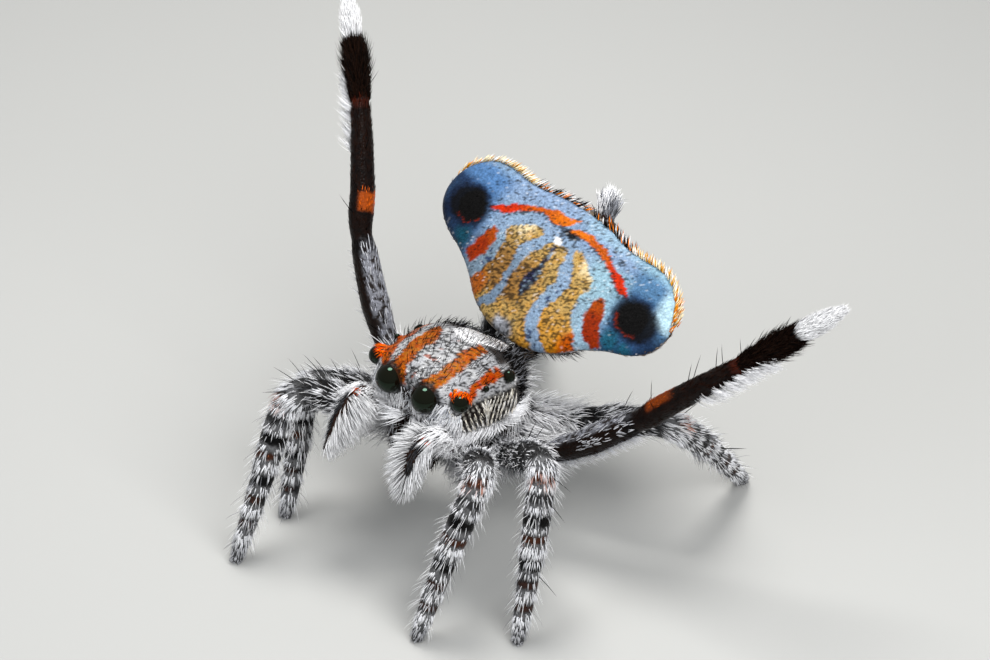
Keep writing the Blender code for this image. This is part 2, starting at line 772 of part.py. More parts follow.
def rim_hair(places, sign, draw):
    """Bristles along the fan's upper rim, at distances across it."""
    outline = np.asarray(FAN_OUTLINE)
    measure = np.linspace(0, 1, len(outline))
    hair = []
    for across in places:
        at = fan_reach(across)
        near = smooth(measure, outline, np.clip((at - 0.02, at + 0.02), 0, 1))
        along_rim = near[1] - near[0]
        outward = unit((-along_rim[2], along_rim[0]))
        if outward[1] < 0:
            outward = -outward
        high = smooth(measure, outline, at)[2]
        root = fan_point(sign * across, high - 0.02, FAN_LEVEL)
        start = sign * outward[0] * FAN_ACROSS + outward[1] * FAN_ALONG
        start = start + draw.uniform(-0.3, 0.5) * FAN_OUT
        length = RIM_HAIR_LENGTH * draw.uniform(0.8, 1.2)
        hair.append(spine(root, unit(start), length, RIM_HAIR_RADIUS, RIM_HAIR_SINK))
    return hair


def make_abdomen(stand, draw):
    """The abdomen's own egg, the middle of the fan over it, and the stalk to the body."""
    rings = []
    polars = np.linspace(0.14, math.pi - 0.14, 10)
    levels = smooth(np.linspace(0, math.pi, len(ABDOMEN_LEVELS)), ABDOMEN_LEVELS, polars)
    for polar, level in zip(polars, levels):
        along = ABDOMEN_MIDDLE - ABDOMEN_LENGTH / 2 * math.cos(polar)
        width = ABDOMEN_WIDTH / 2 * math.sin(polar) ** 0.8
        depth = ABDOMEN_DEPTH / 2 * math.sin(polar) ** 0.8
        angles = 2 * math.pi * (np.arange(ABDOMEN_SIDES) + 0.5) / ABDOMEN_SIDES
        rings.append([fan_point(width * math.cos(a), along, level + depth * math.sin(a)) for a in angles])
    body = skin("abdomen", rings)
    edge = fan_reach(FLAP_ROOT)
    middle_rings = [fan_ring(at, -1.0) for at in np.linspace(edge, 0.0, 5)]
    middle_rings += [fan_ring(at, 1.0) for at in np.linspace(0.0, edge, 5)[1:]]
    plate = skin("plate", middle_rings)
    stalk = tube("stalk", PEDICEL, [PEDICEL_RADIUS] * 3, np.array((1.0, 0.0, 0.0)), sides=8)
    hair = rim_hair(RIM_MIDDLE, 1.0, draw) + rim_hair(RIM_MIDDLE, -1.0, draw)
    mesh = boolean(body, [plate, stalk, *hair], "UNION")
    finish("abdomen", mesh, "fan_scales", PEDICEL[0], stand)
    for word, sign in SIDES.items():
        start = fan_reach(FLAP_ROOT + JOINT_GAP)
        rings = [fan_ring(at, sign) for at in start + (1 - start) * np.sin(np.linspace(0, math.pi / 2, 9))]
        mesh = boolean(skin("flap", rings), rim_hair(np.linspace(1.06, 2.02, 12), sign, draw), "UNION")
        finish(f"fan_flap_{word}", mesh, "fan_scales", fan_point(sign * FLAP_ROOT, 0, 0), stand)


def make_spinnerets(stand, draw):
    """A small cone with a tuft of hair round it, clear of the fan and the abdomen."""
    root = fan_point(0.0, *SPINNERET_ROOT)
    tip = fan_point(0.0, *SPINNERET_TIP)
    path = [root + (tip - root) * at for at in np.linspace(0, 1, 4)]
    radii = (0.14, 0.14, 0.12, 0.07)
    hair = hair_round(
        path, radii, FAN_ACROSS, (0.7,), ring_angles(SPINNERET_TUFTS),
        SPINNERET_HAIR_LENGTH, SPINNERET_HAIR_HALF_WIDTH, SPINNERET_HAIR_LIFT, draw,
    )
    mesh = boolean(tube("spinnerets", path, radii, FAN_ACROSS), hair, "UNION")
    finish("spinnerets", mesh, "white_brush", root, stand)


def main():
    for existing in list(bpy.data.objects):
        bpy.data.objects.remove(existing)
    draw = np.random.default_rng(HAIR_SEED)
    stand = bpy.data.objects.new("spider", None)
    bpy.context.scene.collection.objects.link(stand)
    make_shell(stand, draw)
    finish("underside", underside_mesh(), "bare_shell", (0.0, 0.0, SHELL_MARGIN), stand)
    for number, (name, points) in enumerate(LEGS.items()):
        make_leg(name, points, stand, np.random.default_rng(HAIR_SEED + number))
    make_jaws(stand)
    make_palps(stand, draw)
    make_abdomen(stand, draw)
    make_spinnerets(stand, draw)


main()
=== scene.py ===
"""A male peacock spider in display: one skin under coats of scales, hair and bristles.

Lengths are in millimetres in the spider's own axes: it faces -Y, its left is +X, up is +Z.
Everything is turned into metres in the frame's axes when a piece is made.
"""

import math

import bpy
import numpy as np
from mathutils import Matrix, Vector
from mathutils.kdtree import KDTree


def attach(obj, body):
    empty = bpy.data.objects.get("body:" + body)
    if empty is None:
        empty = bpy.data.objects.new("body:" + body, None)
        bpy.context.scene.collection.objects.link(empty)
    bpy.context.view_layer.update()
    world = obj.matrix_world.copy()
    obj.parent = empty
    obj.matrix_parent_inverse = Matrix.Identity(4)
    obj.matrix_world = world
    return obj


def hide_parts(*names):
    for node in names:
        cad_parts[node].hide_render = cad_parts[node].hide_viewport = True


# The frame
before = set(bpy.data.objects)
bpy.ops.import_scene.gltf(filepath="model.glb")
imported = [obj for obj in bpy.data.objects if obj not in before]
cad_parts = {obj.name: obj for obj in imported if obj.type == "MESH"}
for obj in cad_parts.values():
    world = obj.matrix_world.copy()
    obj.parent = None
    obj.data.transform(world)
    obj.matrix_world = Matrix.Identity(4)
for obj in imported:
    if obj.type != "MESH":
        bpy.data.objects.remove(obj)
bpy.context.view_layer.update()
CENTRE = np.array((0.1, 0.217, 0.0))
METRES = 0.001
SIDEWAYS = np.array((1.0, 0.0, 0.0))
BACK = np.array((0.0, 1.0, 0.0))
UP = np.array((0.0, 0.0, 1.0))
DRAW = np.random.default_rng(7)


# Colours and curves
def srgb(red, green, blue):
    """Linear colour from the 0 to 255 values a screen shows."""
    value = np.array((red, green, blue), float) / 255
    return np.where(value <= 0.04045, value / 12.92, ((value + 0.055) / 1.055) ** 2.4)


WHITE = srgb(247, 247, 249)
PALE_GREY = srgb(190, 193, 202)
MID_GREY = srgb(116, 117, 122)
BLACK = srgb(9, 8, 8)
DARK_BROWN = srgb(40, 24, 16)
ORANGE = srgb(234, 122, 6)
BURNT_ORANGE = srgb(206, 84, 4)
RED = srgb(238, 54, 2)
RED_ORANGE = srgb(142, 36, 1)
FAN_ORANGE = srgb(190, 84, 2)
FAN_RED = srgb(200, 44, 1)
RUST = srgb(160, 66, 4)
YELLOW_ORANGE = srgb(216, 146, 26)
TAN = srgb(188, 154, 90)
BROWN = srgb(128, 82, 34)
CREAM = srgb(244, 228, 186)
LAVENDER = srgb(130, 154, 186)
SKY = srgb(80, 120, 158)
BLUE = srgb(80, 120, 168)
PALE_BLUE = srgb(142, 167, 188)
PALE_CYAN = srgb(152, 190, 204)
NAVY = srgb(16, 24, 46)
DEEP_BLUE = srgb(32, 62, 104)
TEAL = srgb(20, 90, 108)
DARK_BLUE = srgb(26, 42, 84)


def unit(vector):
    vector = np.asarray(vector, float)
    return vector / np.maximum(np.linalg.norm(vector, axis=-1, keepdims=True), 1e-12)


def smooth(knots, values, at):
    """Values on a smooth curve through the given knots, by cubic pieces."""
    knots = np.asarray(knots, float)
    values = np.asarray(values, float)
    slopes = np.empty_like(values)
    slopes[0] = (values[1] - values[0]) / (knots[1] - knots[0])
    slopes[-1] = (values[-1] - values[-2]) / (knots[-1] - knots[-2])
    chords = knots[2:] - knots[:-2]
    slopes[1:-1] = (values[2:] - values[:-2]) / chords.reshape((-1,) + (1,) * (values.ndim - 1))
    at = np.clip(np.asarray(at, float), knots[0], knots[-1])
    index = np.clip(np.searchsorted(knots, at, side="right") - 1, 0, len(knots) - 2)
    span = knots[index + 1] - knots[index]
    t = (at - knots[index]) / span
    if values.ndim > 1:
        t = t[..., None]
        span = span[..., None]
    first = values[index] * (2 * t**3 - 3 * t**2 + 1) + slopes[index] * span * (t**3 - 2 * t**2 + t)
    second = values[index + 1] * (3 * t**2 - 2 * t**3) + slopes[index + 1] * span * (t**3 - t**2)
    return first + second


def spread(values, count):
    return smooth(np.linspace(0, 1, len(values)), values, np.linspace(0, 1, count))


def signed_power(value, power):
    return np.sign(value) * np.abs(value) ** power


def step(value, low, high):
    """0 below low, 1 above high and smooth between; low may lie above high."""
    t = np.clip((np.asarray(value, float) - low) / (high - low), 0, 1)
    return t * t * (3 - 2 * t)


def mix(first, second, share):
    share = np.asarray(share, float)[..., None]
    return first * (1 - share) + second * share


def lay(colour, *layers):
    """The colour under layers of other colours, each given with its cover."""
    for over, share in layers:
        colour = mix(colour, over, share)
    return colour


def turns(count):
    """Angles evenly spread round a circle."""
    return 2 * math.pi * np.arange(count) / count


def hashed(key):
    """A random value in 0 to 1 for each whole number."""
    key = (key ^ (key >> 13)) * 1274126177
    return ((key ^ (key >> 16)) & 0xFFFF) / 65535.0


def noise(points, scale, seed=0):
    """Smooth random values in 0 to 1 over points, by a lattice of the given step."""
    points = np.asarray(points, float) / scale + 37.7 * seed
    base = np.floor(points).astype(np.int64)
    part = points - base
    part = part * part * (3 - 2 * part)
    total = np.zeros(len(points))
    for corner in range(8):
        offset = np.array(((corner >> 2) & 1, (corner >> 1) & 1, corner & 1))
        x, y, z = (base + offset).T
        key = (x * 73856093) ^ (y * 19349663) ^ (z * 83492791) ^ (seed * 2654435761)
        total += np.prod(np.where(offset == 1, part, 1 - part), axis=1) * hashed(key)
    return total


def ragged(points, *grains):
    """Noise about 0, as a sum of grains of (amount, scale, seed)."""
    return sum(amount * (noise(points, scale, seed) - 0.5) for amount, scale, seed in grains)


def cells(u, v, wide, long, seed=0):
    """A random value in 0 to 1 for each cell of a fine grid over (u, v)."""
    row = np.floor(np.asarray(v) / long).astype(np.int64)
    shift = ((row * 40503) & 0xFF) / 255.0
    column = np.floor(np.asarray(u) / wide + shift).astype(np.int64)
    return hashed((column * 73856093) ^ (row * 19349663) ^ ((seed + 1) * 83492791))


def off_line(u, v, start, end):
    """How far along a line each (u, v) lies, from 0 to 1, and its distance from it."""
    run = end - start
    t = np.clip(((u - start[0]) * run[0] + (v - start[1]) * run[1]) / (run[0] ** 2 + run[1] ** 2), 0, 1)
    return t, np.hypot(u - start[0] - t * run[0], v - start[1] - t * run[1])


def inside(u, v, corners):
    """Distance of each (u, v) from a closed outline, positive inside it."""
    corners = np.asarray(corners, float)
    nearest = np.full(np.shape(u), 1e9)
    within = np.zeros(np.shape(u), bool)
    for start, end in zip(corners, np.roll(corners, -1, axis=0)):
        nearest = np.minimum(nearest, off_line(u, v, start, end)[1])
        (x0, y0), (x1, y1) = start, end
        if y0 != y1:
            crosses = (v < max(y0, y1)) & (v >= min(y0, y1)) & (u < x0 + (v - y0) / (y1 - y0) * (x1 - x0))
            within = within ^ crosses
    return np.where(within, nearest, -nearest)


def ribbon(u, v, points):
    """How far each (u, v) lies inside a line of (u, v, half width) points, negative outside."""
    points = np.asarray(points, float)
    best = np.full(np.shape(u), -1e9)
    for start, end in zip(points[:-1], points[1:]):
        t, apart = off_line(u, v, start, end)
        best = np.maximum(best, start[2] + t * (end[2] - start[2]) - apart)
    return best


# Fan axes: across it, up along it, and out of its face
FAN_CENTRE = np.array((0.0, 1.52, 3.19))
FAN_PITCH = math.radians(43.0)
FAN_YAW = math.radians(-4.4)
FAN_ROLL = math.radians(1.8)
FAN_ACROSS = unit((math.cos(FAN_YAW) * math.cos(FAN_ROLL), math.sin(FAN_YAW), -math.sin(FAN_ROLL)))
FAN_ALONG = np.array((0.0, math.cos(FAN_PITCH), math.sin(FAN_PITCH)))
FAN_ALONG = unit(FAN_ALONG - FAN_ALONG.dot(FAN_ACROSS) * FAN_ACROSS)
FAN_OUT = np.cross(FAN_ACROSS, FAN_ALONG)
FAN_BASIS = np.stack([FAN_ACROSS, FAN_ALONG, FAN_OUT])
FAN_LEVEL = -0.12
# Half of its outline: across, lowest along, highest along
FAN_OUTLINE = np.array(
    (
        (0.0, -1.16, 0.83), (0.3, -1.14, 0.83), (0.6, -1.05, 0.79), (0.8, -0.95, 0.75),
        (1.1, -0.73, 0.74), (1.42, -0.56, 0.76), (1.70, -0.46, 0.70), (1.92, -0.33, 0.54),
        (2.06, -0.16, 0.33), (2.12, 0.05, 0.09),
    )
)


def fan_point(across, along, out):
    across, along, out = np.broadcast_arrays(across, along, out)
    return FAN_CENTRE + np.stack([across, along, out], axis=-1) @ FAN_BASIS


def fan_place(points):
    """Distances across, along and out of the fan's face."""
    return (np.asarray(points) - FAN_CENTRE) @ FAN_BASIS.T


def fan_lean(across):
    """How far the fan's scales lean out, for each step along it."""
    return np.clip(0.55 * across, -0.8, 0.8)


def fan_edges(at):
    """Across, lowest and highest along on the outline, from 0 at the middle to 1 at a lobe's end."""
    return smooth(np.linspace(0, 1, len(FAN_OUTLINE)), FAN_OUTLINE, at).T


# Source surfaces of the skin
def tube_faces(rows, sides):
    """Quads of a tube of rings, and triangles that close it to the two points after the rings."""
    quads, caps = [], []
    tail = (rows - 1) * sides
    for row in range(rows - 1):
        for side in range(sides):
            low = row * sides + side
            after = row * sides + (side + 1) % sides
            quads.append((low, after, after + sides, low + sides))
    for side in range(sides):
        after = (side + 1) % sides
        caps += [(rows * sides, after, side), (rows * sides + 1, tail + side, tail + after)]
    return quads, caps


def ball_rings(polar, sides):
    """Rings of a ball of radius 1, from its front pole to its rear one."""
    angles = turns(sides)
    ring = np.stack([np.cos(angles), 0 * angles, np.sin(angles)], axis=1)
    return np.sin(polar)[:, None, None] * ring - np.cos(polar)[:, None, None] * BACK


class Source:
    """Closed meshes with, at each point, a part number, a place along it, an angle and a way on."""

    def __init__(self):
        self.points, self.faces, self.tags, self.ways = [], [], [], []
        self.count = 0

    def add(self, rings, part, places, ways):
        rows, sides, _ = rings.shape
        points = np.concatenate([rings.reshape(-1, 3), rings[[0, -1]].mean(axis=1)])
        places = np.repeat(places, sides)
        angles = np.append(np.tile(np.arange(sides) / sides, rows), (0.0, 0.0))
        ways = np.repeat(np.broadcast_to(ways, (rows, 3)), sides, axis=0)
        quads, caps = tube_faces(rows, sides)
        self.faces += [tuple(index + self.count for index in face) for face in quads + caps]
        self.points.append(points)
        places = np.append(places, (places[0], places[-1]))
        self.tags.append(np.stack([np.full(len(points), float(part)), places, angles], axis=1))
        self.ways.append(np.concatenate([ways, ways[:1], ways[-1:]]))
        self.count += len(points)

    def add_ball(self, centre, radius):
        polar = np.linspace(0.08, math.pi - 0.08, 22)
        self.add(centre + radius * ball_rings(polar, 28), SHELL, 0 * polar, BACK)

    def add_limb(self, limb, radii, sides, part, marked=1.0):
        """A tube round a limb, with its radius at evenly spread places from end to end."""
        places = np.linspace(0, len(limb.points) - 1, len(radii))
        self.add(limb.rings(places, radii, sides), part, marked * places, limb.at(places)[1])


SHELL, UNDER, FAN, EGG, JAW, BRUSH, TAIL, LEG = 0, 1, 2, 3, 4, 6, 7, 10
SIDES = {"left": 1.0, "right": -1.0}

# Sections of the head shell: along, half width, top, widest height, bottom
SHELL_SECTIONS = np.array(
    (
        (-1.15, 0.42, 2.68, 2.50, 2.26), (-1.11, 0.60, 2.81, 2.48, 2.14), (-1.00, 0.75, 2.90, 2.44, 2.02),
        (-0.80, 0.83, 2.97, 2.38, 1.92), (-0.45, 0.87, 3.01, 2.30, 1.85), (-0.10, 0.88, 2.96, 2.25, 1.82),
        (0.15, 0.80, 2.82, 2.20, 1.82), (0.40, 0.60, 2.61, 2.15, 1.82), (0.60, 0.41, 2.45, 2.12, 1.84),
        (0.75, 0.26, 2.30, 2.08, 1.86), (0.84, 0.11, 2.16, 2.04, 1.90),
    )
)
SHELL_COAT = 0.035
UPPER_POWER = 2.25
LOWER_POWER = 3.0
UNDER_POWER = 2.4
# Points of each leg: root, hip, knee, bend, ankle and toe
LEGS = {
    "leg1_left": (
        (0.34, -0.55, 1.52), (0.86, -0.84, 1.62), (1.36, -1.20, 2.10), (1.53, -1.42, 2.04),
        (1.47, -1.98, 1.0), (1.43, -2.45, 0.0),
    ),
    "leg2_left": (
        (0.34, -0.16, 1.50), (0.96, -0.32, 1.60), (1.85, -0.62, 2.13), (2.05, -0.78, 2.05),
        (2.26, -1.20, 1.0), (2.41, -1.59, 0.0),
    ),
    "leg3_left": (
        (0.34, 0.24, 1.50), (1.05, 0.32, 1.34), (2.20, 0.87, 2.13), (2.50, 1.06, 2.44),
        (3.36, 1.52, 3.28), (4.50, 2.15, 4.42),
    ),
    "leg4_left": (
        (0.25, 0.58, 1.50), (0.92, 0.92, 1.46), (2.03, 1.36, 1.74), (2.26, 1.54, 1.68),
        (2.26, 2.22, 0.92), (2.20, 2.92, 0.0),
    ),
    "leg1_right": (
        (-0.34, -0.55, 1.52), (-0.82, -0.96, 1.66), (-1.28, -1.64, 2.15), (-1.44, -1.88, 2.0),
        (-1.42, -2.38, 1.06), (-1.39, -2.92, 0.0),
    ),
    "leg2_right": (
        (-0.34, -0.16, 1.50), (-0.94, -0.40, 1.58), (-1.60, -1.0, 1.76), (-1.77, -1.18, 1.66),
        (-1.68, -1.5, 0.85), (-1.58, -1.82, 0.0),
    ),
    "leg3_right": (
        (-0.34, 0.22, 1.50), (-1.22, -0.06, 1.76), (-2.35, 0.42, 2.96), (-2.69, 0.78, 3.43),
        (-3.30, 1.36, 4.2), (-4.19, 2.03, 5.12),
    ),
    "leg4_right": (
        (-0.25, 0.58, 1.50), (-0.78, 1.02, 1.46), (-1.14, 2.04, 1.76), (-1.28, 2.25, 1.70),
        (-1.64, 2.84, 0.88), (-1.95, 3.35, 0.0),
    ),
}
LEG_NAMES = list(LEGS)
RAISED = ("leg3_left", "leg3_right")
WALKING = [name for name in LEG_NAMES if name not in RAISED]
# Bare radii by the place along a leg, counted in the points above
LEG_RADII = ((0, 0.17), (0.9, 0.16), (1.0, 0.15), (1.5, 0.2), (1.9, 0.19), (2.0, 0.165), (2.5, 0.19))
LEG_RADII += ((3.0, 0.18), (3.5, 0.18), (4.0, 0.15), (4.6, 0.12), (5.0, 0.075))
RAISED_RADII = ((0, 0.17), (0.9, 0.16), (1.0, 0.14), (1.5, 0.19), (1.9, 0.17), (2.0, 0.14), (2.5, 0.17))
RAISED_RADII += ((3.0, 0.165), (3.5, 0.15), (4.0, 0.12), (4.3, 0.105), (4.8, 0.09), (5.0, 0.03))


def radii_at(places, table):
    return np.interp(places, *np.array(table).T)


class Limb:
    """A limb's smooth path, with its place counted by the points it runs through."""

    def __init__(self, points, reference=None):
        self.points = np.asarray(points, float)
        steps = np.linalg.norm(np.diff(self.points, axis=0), axis=1)
        self.knots = np.concatenate([[0.0], np.cumsum(steps)])
        if reference is None:
            reference = unit(np.cross(self.points[-1] - self.points[0], UP))
        self.reference = reference

    def at(self, place):
        """Centre, way on, side way and way over at places counted in points."""
        length = np.interp(place, np.arange(len(self.knots)), self.knots)
        centre = smooth(self.knots, self.points, length)
        ahead = smooth(self.knots, self.points, length + 0.02)
        behind = smooth(self.knots, self.points, length - 0.02)
        way = unit(ahead - behind)
        side = unit(self.reference - (way @ self.reference)[..., None] * way)
        return centre, way, side, np.cross(side, way)

    def rings(self, places, radii, sides):
        centre, _, side, over = self.at(places)
        angles = turns(sides)
        ring = np.cos(angles)[:, None] * side[:, None, :] + np.sin(angles)[:, None] * over[:, None, :]
        return centre[:, None, :] + radii[:, None, None] * ring


# Eyes on the left: middle, radius of the lens and the way it looks
EYES = {
    "eye_main": ((0.315, -1.12, 2.585), 0.195, (0.1, -1.0, 0.06)),
    "eye_side": ((0.74, -0.91, 2.62), 0.125, (0.62, -0.77, 0.12)),
    "eye_small": ((0.80, -0.50, 2.66), 0.042, (0.95, 0.0, 0.3)),
    "eye_rear": ((0.8, -0.08, 2.635), 0.086, (0.85, 0.1, 0.5)),
}
FAR_DROP = {"eye_rear": 0.11}
MOUND_SINK = 0.5
MOUND_GROW = 1.13


def eye_places():
    for kind, (centre, radius, gaze) in EYES.items():
        for word, sign in SIDES.items():
            place = np.array(centre) * (sign, 1, 1) - UP * FAR_DROP.get(kind, 0.0) * (sign < 0)
            yield f"{kind}_{word}", place, radius, unit(gaze) * (sign, 1, 1)


def shell_place(points):
    """Angle in degrees round the head shell, 0 at its left and 90 on top, and the place along it."""
    x, y, z = points.T
    stations, *columns = SHELL_SECTIONS.T
    half, top, middle, bottom = (np.interp(y, stations, column) for column in columns)
    above = z > middle
    power = np.where(above, UPPER_POWER, LOWER_POWER) / 2
    up = signed_power((z - middle) / np.where(above, top - middle, middle - bottom), power)
    return np.degrees(np.arctan2(up, signed_power(x / half, power))), y


def shell_rings(rows, sides):
    at = np.linspace(0, 1, rows)
    place, half, top, middle, bottom = smooth(np.linspace(0, 1, len(SHELL_SECTIONS)), SHELL_SECTIONS, at).T
    place = place - SHELL_COAT * (2 * at - 1)
    angles = turns(sides)
    upper = np.sin(angles) > 0
    power = np.where(upper, 2 / UPPER_POWER, 2 / LOWER_POWER)
    half = half - SHELL_COAT
    reach = np.where(upper, (top - middle)[:, None], (middle - bottom)[:, None]) - SHELL_COAT
    x = half[:, None] * signed_power(np.cos(angles), power)
    z = middle[:, None] + reach * signed_power(np.sin(angles), power)
    return np.stack([x, np.repeat(place[:, None], sides, axis=1), z], axis=2), at


def fan_rings(rows, sides):
    """Sections from one lobe's end to the other's, thin at the rim."""
    at = np.sin(np.linspace(-math.pi / 2, math.pi / 2, rows))
    across, low, high = fan_edges(np.abs(at))
    angles = turns(sides)
    middle = ((low + high) / 2)[:, None]
    along = middle + ((high - low) / 2 - 0.02)[:, None] * signed_power(np.cos(angles), 0.8)
    thickness = 0.22 + 0.12 / (1 + (across / 0.95) ** 4)
    half = thickness / 2 * np.minimum(1.0, 0.16 + (high - low) / 0.9)
    out = FAN_LEVEL + half[:, None] * signed_power(np.sin(angles), 0.8)
    return fan_point(np.sign(at)[:, None] * across[:, None], along, out), at


def egg_rings(rows, sides):
    """The abdomen behind the fan, along the fan."""
    polars = np.linspace(0.1, math.pi - 0.1, rows)
    levels = spread((-0.56, -0.66, -0.66, -0.58, -0.42), rows)
    round_off = np.sin(polars) ** 0.8
    angles = turns(sides)
    across = (0.8 * round_off)[:, None] * np.cos(angles)
    out = levels[:, None] + (0.51 * round_off)[:, None] * np.sin(angles)
    return fan_point(across, (-0.09 - 0.95 * np.cos(polars))[:, None], out), polars / math.pi


def under_rings(rows, sides):
    """The sternum block under the head shell, from front to rear."""
    at = np.linspace(0, 1, rows)
    stations = (0.0, 0.06, 0.2, 0.45, 0.7, 0.9, 1.0)
    half = smooth(stations, (0.45, 0.68, 0.88, 0.98, 0.78, 0.5, 0.28), at) * 0.72 - 0.02
    depth = smooth(stations, (0.55, 0.78, 0.95, 1.0, 0.95, 0.75, 0.5), at) * 0.76 - 0.02
    angles = turns(sides)
    x = half[:, None] * signed_power(np.cos(angles), 2 / UNDER_POWER)
    drop = signed_power(np.sin(angles), 2 / UNDER_POWER)
    z = 1.92 + np.where(drop < 0, depth[:, None], 0.12) * drop
    y = np.repeat((-0.76 + at * 1.66)[:, None], sides, axis=1)
    return np.stack([x, y, z], axis=2), at


JAW_PATH = np.array(((0.225, -0.95, 2.2), (0.225, -0.98, 1.95), (0.22, -1.0, 1.65), (0.2, -0.98, 1.36)))
PALP_PATHS = {
    "left": (
        (0.55, -0.72, 1.66), (0.66, -0.98, 1.92), (0.62, -1.27, 2.24), (0.48, -1.50, 2.02),
        (0.44, -1.66, 1.40),
    ),
    "right": (
        (-0.55, -0.72, 1.66), (-0.66, -0.98, 1.92), (-0.66, -1.27, 2.26), (-0.70, -1.50, 2.10),
        (-0.76, -1.86, 1.58),
    ),
}
PALP_RADII = ((0, 0.09), (1, 0.1), (2, 0.105), (2.2, 0.11), (2.8, 0.135), (3.4, 0.12), (4.0, 0.05))
TAIL_PATH = (fan_point(0.0, 0.7, -0.5), fan_point(0.0, 0.92, -0.40), fan_point(0.0, 1.06, -0.33))
STALK_PATH = ((0.0, 0.8, 1.96), (0.0, 0.97, 1.98), (0.0, 1.2, 2.06), (0.0, 1.5, 2.3), (0.0, 1.6, 2.45))
LIMBS = {name: Limb(points) for name, points in LEGS.items()}
PALPS = {word: Limb(points) for word, points in PALP_PATHS.items()}


def skin_sources():
    source = Source()
    for (rings, at), part, way in (
        (shell_rings(70, 90), SHELL, BACK),
        (under_rings(50, 50), UNDER, BACK),
        (fan_rings(150, 90), FAN, FAN_ALONG),
        (egg_rings(60, 70), EGG, FAN_ALONG),
    ):
        source.add(rings, part, at, way)
        if part == SHELL:
            for _, centre, radius, gaze in eye_places():
                source.add_ball(centre - MOUND_SINK * radius * gaze, MOUND_GROW * radius)
    for sign in SIDES.values():
        jaw = Limb(JAW_PATH * (sign, 1.0, 1.0), SIDEWAYS)
        source.add_limb(jaw, spread((0.15, 0.165, 0.15, 0.09), 30), 24, JAW)
    for limb in PALPS.values():
        source.add_limb(limb, radii_at(np.linspace(0, 4, 70), PALP_RADII), 26, BRUSH)
    source.add_limb(Limb(TAIL_PATH, FAN_ACROSS), spread((0.14, 0.13, 0.1, 0.05), 24), 22, TAIL)
    source.add_limb(Limb(STALK_PATH, SIDEWAYS), np.full(30, 0.12), 22, EGG, marked=0.0)
    for number, (name, limb) in enumerate(LIMBS.items()):
        radii = RAISED_RADII if name in RAISED else LEG_RADII
        source.add_limb(limb, radii_at(np.linspace(0, 5, 190), radii), 30, LEG + number)
    return source


# Pieces
def to_frame(points):
    return (np.asarray(points) - CENTRE) * METRES


def mesh_object(name, points, faces, colours=None):
    """An object from points in millimetres and triangles or quads, with a colour at each point."""
    mesh = bpy.data.meshes.new(name)
    mesh.vertices.add(len(points))
    mesh.vertices.foreach_set("co", to_frame(points).astype(np.float32).ravel())
    faces = np.asarray(faces)
    mesh.loops.add(faces.size)
    mesh.loops.foreach_set("vertex_index", faces.astype(np.int32).ravel())
    mesh.polygons.add(len(faces))
    mesh.polygons.foreach_set("loop_start", np.arange(0, faces.size, faces.shape[1], dtype=np.int32))
    mesh.update(calc_edges=True)
    if colours is not None:
        layer = mesh.color_attributes.new("coat", "FLOAT_COLOR", "POINT")
        values = np.concatenate([np.clip(colours, 0, 1), np.ones((len(colours), 1))], axis=1)
        layer.data.foreach_set("color", values.astype(np.float32).ravel())
    return linked(bpy.data.objects.new(name, mesh))


def linked(made):
    bpy.context.scene.collection.objects.link(made)
    return made


# Profiles of a tuft: place along it and width there; each section is a low triangle
HAIR_PROFILE = ((0.0, 1.0), (0.5, 0.8))
SCALE_PROFILE = ((0.0, 0.55), (0.45, 1.0))
LONG_PROFILE = ((0.0, 1.0), (0.35, 0.9), (0.7, 0.6))
SUNK = 0.012
LOWEST = 0.004
PATCH = 0.003


def off_skin(ways, normals):
    """The ways laid flat against the skin."""
    return unit(ways - (ways * normals).sum(1, keepdims=True) * normals)


